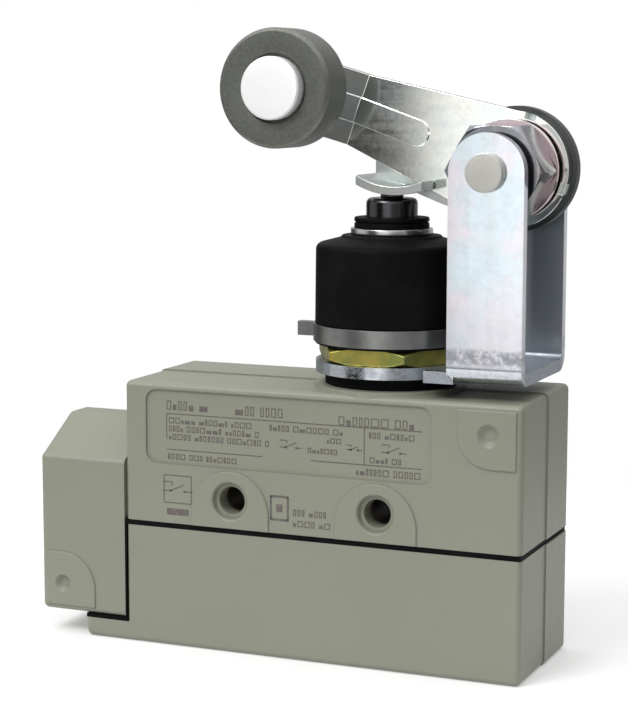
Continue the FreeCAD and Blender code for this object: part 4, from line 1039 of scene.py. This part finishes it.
@dataclass
class Neck:
    """The bushing with its seal, lock nut, boot and clamp band, and the springs inside.

    Sizes are millimetres. The shoulder's height is from the boot's foot; the fold's sizes, from the shoulder,
    are not used.
    """

    bushing_edge: float = 0.06
    seal_edge: float = 0.18
    nut_edge: float = 0.14
    band_edge: float = 0.10
    boot_radius: float = 12.33
    band_seat: float = 12.0
    boot_inside: float = 10.86
    shoulder: float = 16.0
    bead_radius: float = 6.05
    bead_waist: float = 5.78
    collar_radius: float = 5.55
    plunger_grip: float = 4.22
    fold_begins: float = 0.1
    fold_ends: float = 1.45
    spring_turns: float = 4.0
    spring_radius: float = 5.7
    spring_wire: float = 0.45
    over_turns: float = 6.0
    over_radius: float = 2.0
    over_wire: float = 0.3
    travel: float = 4.31

    def build(self, shop: Workshop) -> None:
        """Makes and dresses the neck."""
        shop.fit_copy("guide_bushing", Slot.BUSHING, self.bushing_edge)
        shop.fit_copy("neck_seal", Slot.SEAL, self.seal_edge)
        shop.fit_copy("lock_nut", Slot.YELLOW_NUT, self.nut_edge)
        shop.fit_copy("clamp_band", Slot.BAND, self.band_edge)
        self.build_boot(shop)
        self.build_springs(shop)

    def build_boot(self, shop: Workshop) -> Object:
        """The rubber boot: a can with a soft shoulder, a low cone and a bead round the plunger."""
        low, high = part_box("boot")
        foot, top = low.z / MM, high.z / MM
        shoulder = foot + self.shoulder
        can = [(self.boot_inside, foot, 0), (12.3, foot, 0.12), (12.3, foot + 0.36, 0.05),
               (self.band_seat, foot + 0.4, 0.02), (self.band_seat, foot + 3.2, 0.02),
               (self.boot_radius, foot + 3.3, 0.08), (12.22, shoulder, 1.15)]
        cone = [(8.3, shoulder + 1.02, 0.5), (7.95, shoulder + 1.42, 0.2), (6.6, shoulder + 1.46, 0.12),
                (6.5, shoulder + 1.6, 0.03), (self.collar_radius, shoulder + 1.62, 0.1),
                (self.collar_radius, shoulder + 2.5, 0.03)]
        bead = [(self.bead_radius, shoulder + 2.56, 0.12), (self.bead_radius, top - 1.0, 0.1),
                (self.bead_waist, top - 0.82, 0.08), (self.bead_radius, top - 0.62, 0.1),
                (self.bead_radius, top, 0.22)]
        inside = [(self.plunger_grip, top, 0.15), (self.plunger_grip, shoulder + 0.6, 0.1),
                  (8.0, shoulder + 0.1, 0.3), (11.0, shoulder - 0.7, 0.5), (11.05, foot + 5.6, 0.1),
                  (self.boot_inside, foot + 5.2, 0)]
        centre = centre_of("guide_bushing")
        boot = Lathe("boot_shell", can + cone + bead + inside, centre, closed=True).build()
        shop.dress(boot, Slot.BOOT)
        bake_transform(boot)
        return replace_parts(boot, "boot")

    def build_springs(self, shop: Workshop) -> None:
        """The return spring under the plunger's flange and the overtravel spring inside it."""
        tree = coil_tree(shop.materials[Slot.SPRING])
        for name, turns, radius, wire, anchor_top in (
                ("return_spring", self.spring_turns, self.spring_radius, self.spring_wire, False),
                ("overtravel_spring", self.over_turns, self.over_radius, self.over_wire, True)):
            low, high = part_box(name)
            rise = high.z - low.z
            piece = empty_mesh(name + "_coil")
            tree.grow(piece, {"Turns": turns, "Radius": radius * MM, "Rise": rise - 2 * wire * MM,
                              "Wire": wire * MM})
            middle = centre_of("guide_bushing")
            piece.data.transform(Matrix.Translation((middle[0], middle[1], low.z + wire * MM)))
            shop.fit(piece, Slot.SPRING, name)
            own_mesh(piece)


@dataclass
class PlungerSet:
    """The plunger, its tip and the ring that holds the boot on it."""

    tip_edge: float = 0.15
    ring_edge: float = 0.12

    def build(self, shop: Workshop) -> None:
        """Makes and dresses the plunger."""
        centre = centre_of("guide_bushing")
        steel = TurnedSteel("plunger_polished", (0.095, 0.096, 0.10), (0.055, 0.056, 0.06), centre,
                            roughness=0.14)
        shop.fit_copy("plunger", Slot.PLUNGER, finish=steel)
        tip = TurnedSteel("plunger_tip_steel", (0.10, 0.10, 0.10), (0.05, 0.05, 0.05), centre)
        shop.fit_copy("plunger_tip", Slot.BLACK, self.tip_edge, tip)
        ring = TurnedSteel("boot_ring_steel", (0.66, 0.66, 0.67), (0.45, 0.45, 0.46), centre,
                           roughness=0.16)
        shop.fit_copy("boot_ring", Slot.BAND, self.ring_edge, ring)


@dataclass
class Yoke:
    """The U bracket that turns about the neck, and the pin that the levers hang on."""

    edge: float = 0.16
    plate: float = 1.75
    scuff_above_floor: float = 4.3

    def build(self, shop: Workshop) -> None:
        """Makes and dresses the bracket."""
        low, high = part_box("bracket")
        wall = self.plate * MM
        # Painted shade on the bracket: at the bend, low on the walls and between the walls.
        plate = PlatedSheet("bracket_zinc", scuff_height=low.z + self.scuff_above_floor * MM,
                            inner=(low.y + wall, high.y - wall))
        shop.fit_copy("bracket", Slot.SHEET, self.edge, plate)
        self.build_pin(shop)

    def build_pin(self, shop: Workshop) -> Object:
        """The levers' pin, flat-ended, with broken corners."""
        low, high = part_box("pivot_pin")
        centre = centre_of("pivot_pin")
        front, rear, radius = low.y / MM, high.y / MM, (high.x - low.x) / 2 / MM
        corners = [(0, front, 0), (radius * 0.6, front + 0.01, 0), (radius - 0.1, front + 0.06, 0.1),
                   (radius, front + 0.32, 0.12), (radius, rear - 0.25, 0.1), (radius - 0.25, rear, 0.1),
                   (0, rear, 0)]
        steel = TurnedSteel("pivot_pin_steel", (0.66, 0.655, 0.62), (0.40, 0.39, 0.36), centre, Axis.Y,
                            roughness=0.42, metallic=0.6)
        pin = Lathe("pivot_pin_turned", corners, centre, Axis.Y).build()
        return shop.fit(pin, Slot.PIN, "pivot_pin", finish=steel)


@dataclass
class LeverHub:
    """The threaded hub that clamps the levers, with its nut and washers, and the foot lever."""

    hub_edge: float = 0.08
    nut_edge: float = 0.12
    sheet_edge: float = 0.14

    def build(self, shop: Workshop) -> None:
        """Makes and dresses the hub."""
        centre = centre_of("lever_hub")
        hub = TurnedSteel("lever_hub_zinc", (0.55, 0.55, 0.56), (0.40, 0.40, 0.42), centre, Axis.Y)
        shop.fit_copy("lever_hub", Slot.SCREW, self.hub_edge, hub)
        # Painted shade: the nut's base colour is made dark to stand in for the shade it sits in; its blue and
        # pink tints are the plating's.
        nut = PlatedSheet("pivot_nut_zinc", base=(0.27, 0.28, 0.30), cool=(0.21, 0.245, 0.27),
                          warm=(0.30, 0.25, 0.25), roll=(700, 3000, 700), roughness=0.10)
        shop.fit_copy("pivot_nut", Slot.SCREW, self.nut_edge, nut)
        # Painted shade: the washer's base colour is darkened to stand in for the shade it sits in; its pink
        # tint is the plating's.
        washer = PlatedSheet("pivot_washer_zinc", base=(0.56, 0.47, 0.48), cool=(0.50, 0.47, 0.50),
                             warm=(0.60, 0.42, 0.44), roll=(260, 900, 260))
        shop.fit_copy("pivot_washer", Slot.SCREW, self.nut_edge, washer)
        shop.fit_copy("lock_washer", Slot.BLACK, self.nut_edge)
        foot = PlatedSheet("foot_lever_zinc", base=(0.62, 0.66, 0.65), cool=(0.50, 0.58, 0.56),
                           warm=(0.60, 0.60, 0.56), roll=(30, 900, 900), dark_centre=centre,
                           roughness=0.2)
        shop.fit_copy("foot_lever", Slot.SHEET, self.sheet_edge, foot)


@dataclass
class RollerArm:
    """The roller lever, its roller and the riveted pin between them."""

    arm_edge: float = 0.07
    crease: float = math.radians(20)
    recess_depth: float = 1.0
    recess_radius: float = 5.5
    bore: float = 3.04
    turns: int = 160
    head_gap: float = 0.04
    shank: float = 3.0
    tail: float = 2.5
    plate: float = 2.0
    rivet: float = 3.8
    rivet_height: float = 1.0

    def build(self, shop: Workshop) -> None:
        """Makes and dresses the arm."""
        arm = PlatedSheet("arm_zinc", base=(0.93, 0.95, 0.92), cool=(0.80, 0.90, 0.86),
                          warm=(0.92, 0.90, 0.80), roll=(40, 900, 900), roughness=0.03)
        shop.fit_copy("roller_lever", Slot.SHEET, self.arm_edge, arm, self.crease)
        self.build_roller(shop)
        self.build_pin(shop)

    def build_roller(self, shop: Workshop) -> Object:
        """The roller, with broken corners and a recess for the pin's head."""
        low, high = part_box("roller")
        centre = centre_of("roller")
        front, rear, rim = low.y / MM, high.y / MM, (high.z - low.z) / 2 / MM
        floor = front + self.recess_depth
        corners = [(self.bore, floor, 0), (self.recess_radius, floor, 0.12), (self.recess_radius, front, 0.3),
                   (rim - 0.55, front, 0.12), (rim, front + 0.5, 0.15), (rim, rear - 0.5, 0.15),
                   (rim - 0.55, rear, 0.12), (self.bore, rear, 0)]
        steel = SinteredSteel(centre, rim * MM, low.y)
        roller = Lathe("roller_turned", corners, centre, Axis.Y, closed=True, turns=self.turns).build()
        return shop.fit(roller, Slot.SINTERED, "roller", finish=steel)

    def build_pin(self, shop: Workshop) -> Object:
        """The roller's pin: a low-domed head, a shank and a riveted tail."""
        low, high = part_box("roller_pin")
        centre = centre_of("roller_pin")
        front, rear, head = low.y / MM, high.y / MM, (high.z - low.z) / 2 / MM
        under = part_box("roller")[0].y / MM + self.recess_depth - self.head_gap
        plate_rear = rear - self.rivet_height
        plate_front = plate_rear - self.plate
        corners = [(0, front, 0), (head * 0.55, front + 0.02, 0), (head - 0.25, front + 0.1, 0.15),
                   (head, front + 0.4, 0.2), (head, under, 0.08), (self.shank, under, 0.05),
                   (self.shank, plate_front, 0.02), (self.tail, plate_front, 0), (self.tail, plate_rear, 0),
                   (self.rivet, plate_rear, 0.1), (self.rivet - 0.5, rear - 0.25, 0.3), (0, rear, 0)]
        bright = TurnedSteel("roller_pin_bright", (0.98, 0.99, 0.98), (0.88, 0.89, 0.88), centre, Axis.Y,
                             roughness=0.36, metallic=0.35)
        pin = Lathe("roller_pin_turned", corners, centre, Axis.Y).build()
        return shop.fit(pin, Slot.RIVET, "roller_pin", finish=bright)


@dataclass(frozen=True)
class Panel:
    """A bright stretch of the surroundings, by bearing: 0 is straight ahead, in degrees."""

    strength: float
    begins: Span
    ends: Span


@dataclass(frozen=True)
class Lamp:
    """A square lamp, in metres and watts."""

    name: str
    place: Place
    size: float
    power: float


@dataclass
class Studio:
    """The white floor, the soft surroundings, the lights and the camera."""

    camera_place: Place = (0.12326, -0.31124, 0.06679)
    target: Place = (0.00212, -0.0253, 0.02381)
    roll: float = 0.10
    lens: float = 98.64
    floor_half: float = 0.13
    floor_gap: float = 0.00002
    panels: Sequence[Panel] = (
        Panel(1.2, (-20.55, -19.15), (8.0, 20.0)), Panel(0.28, (8.0, 20.0), (60.0, 85.0)),
        Panel(0.7, (-105.0, -90.0), (-58.0, -46.0)))
    gloom: float = 0.012
    behind: float = 0.5
    behind_bearings: Span = (115.0, 150.0)
    floor_share: float = 0.25
    floor_slope: Span = (0.15, 0.38)
    ceiling: float = 1.38
    ceiling_slope: Span = (0.34, 0.64)
    lamps: Sequence[Lamp] = (Lamp("key", (-0.24, -0.52, 0.62), 0.36, 4.0),
                             Lamp("fill", (0.25, -0.80, 0.30), 0.60, 0.2))

    def build(self) -> None:
        """Sets the stage."""
        bpy.context.scene.view_settings.view_transform = "Standard"
        self.build_floor()
        self.build_surroundings()
        self.build_lights()
        self.build_camera()

    def build_floor(self) -> None:
        """A sheet of white paper under the cover's lowest face."""
        level = CAD_BOX[0].z - self.floor_gap
        half = self.floor_half
        mesh = bpy.data.meshes.new("floor")
        corners = [(-half, -half, level), (half, -half, level), (half, half, level), (-half, half, level)]
        mesh.from_pydata(corners, [], [(0, 1, 2, 3)])
        mesh.materials.append(Backdrop().material())
        link("floor", mesh)

    def build_surroundings(self) -> None:
        """Soft panels all round: bright ahead, a dark gap to the left of it, and a softbox beyond."""
        world = bpy.data.worlds.new("studio")
        bpy.context.scene.world = world
        world.use_nodes = True
        r = Recipe(world.node_tree)
        way = r.make("TexCoord", output="Generated")
        x, y, z = (r.make("SeparateXYZ", inputs={"Vector": way}, output=name) for name in "XYZ")
        bearing = x.math("ARCTAN2", 0 - y) * math.degrees(1)
        level = self.gloom + self.behind * r.step(bearing.math("ABSOLUTE"), *self.behind_bearings)
        for panel in self.panels:
            level = level + panel.strength * r.band(bearing, panel.begins, panel.ends)
        level = level * (1 - (1 - self.floor_share) * r.step(0 - z, *self.floor_slope))
        top = r.step(z, *self.ceiling_slope)
        level = level * (1 - top) + top * self.ceiling
        seen = r.make("LightPath", output="Is Camera Ray")
        light = r.make("Background", inputs={"Color": (1.0, 1.0, 1.0), "Strength": level * (1 - seen) + seen})
        r.make("OutputWorld", inputs={"Surface": light}, output=None)

    def build_lights(self) -> None:
        """A key from above and to the left, and a weaker fill from the front."""
        for lamp in self.lamps:
            data = bpy.data.lights.new(lamp.name, "AREA")
            data.size = lamp.size
            data.energy = lamp.power
            light = bpy.data.objects.new(lamp.name, data)
            light.location = lamp.place
            way = Vector(self.target) - Vector(lamp.place)
            light.rotation_euler = way.to_track_quat("-Z", "Y").to_euler()
            bpy.context.scene.collection.objects.link(light)

    def build_camera(self) -> None:
        """The camera, level but for a trace of roll."""
        data = bpy.data.cameras.new("camera")
        data.lens = self.lens
        camera = bpy.data.objects.new("camera", data)
        camera.location = self.camera_place
        look = (Vector(self.target) - Vector(self.camera_place)).to_track_quat("-Z", "Y").to_matrix()
        turn = Matrix.Rotation(math.radians(self.roll), 3, "Z")
        camera.rotation_euler = (look @ turn).to_euler()
        bpy.context.scene.collection.objects.link(camera)
        bpy.context.scene.camera = camera


def shop_finishes() -> dict[Slot, Finish]:
    """The finish of each slot whose pieces don't all have one of their own."""
    neck = centre_of("guide_bushing")
    return {
        Slot.PAINT: CastPaint(),
        Slot.SEAL: Rubber("seal_rubber", 0.5),
        Slot.BOOT: Rubber("boot_rubber", 0.46),
        Slot.SCREW: PlainMetal("zinc_screw", (0.72, 0.74, 0.77), (0.52, 0.53, 0.56)),
        Slot.YELLOW_NUT: YellowChromate(),
        Slot.BAND: PlainMetal("band_steel", (0.30, 0.30, 0.295), (0.17, 0.17, 0.165), 0.26, (2600, 2600, 60)),
        Slot.BUSHING: TurnedSteel("bushing_steel", (0.55, 0.55, 0.56), (0.40, 0.40, 0.42), neck),
        Slot.PLUNGER: TurnedSteel("plunger_steel", (0.16, 0.16, 0.17), (0.10, 0.10, 0.10), neck),
        Slot.BLACK: PlainMetal("black_steel", (0.03, 0.03, 0.032), (0.06, 0.06, 0.06), 0.3),
        Slot.SPRING: PlainMetal("spring_steel", (0.48, 0.48, 0.49), (0.28, 0.28, 0.29)),
        Slot.PHENOLIC: Moulding(),
        Slot.BRASS: PlainMetal("contact_brass", (0.72, 0.52, 0.22), (0.46, 0.30, 0.13)),
    }


def main() -> None:
    """Builds the sub-assemblies in order, then the studio."""
    logging.basicConfig(level=logging.INFO, format="%(name)s %(message)s")
    shop = Workshop(shop_finishes())
    for part in (Enclosure(), InnerSwitch(), Neck(), PlungerSet(), Yoke(), LeverHub(), RollerArm()):
        LOG.info("building %s", type(part).__name__)
        part.build(shop)
    Studio().build()


if __name__ == "__main__":
    main()
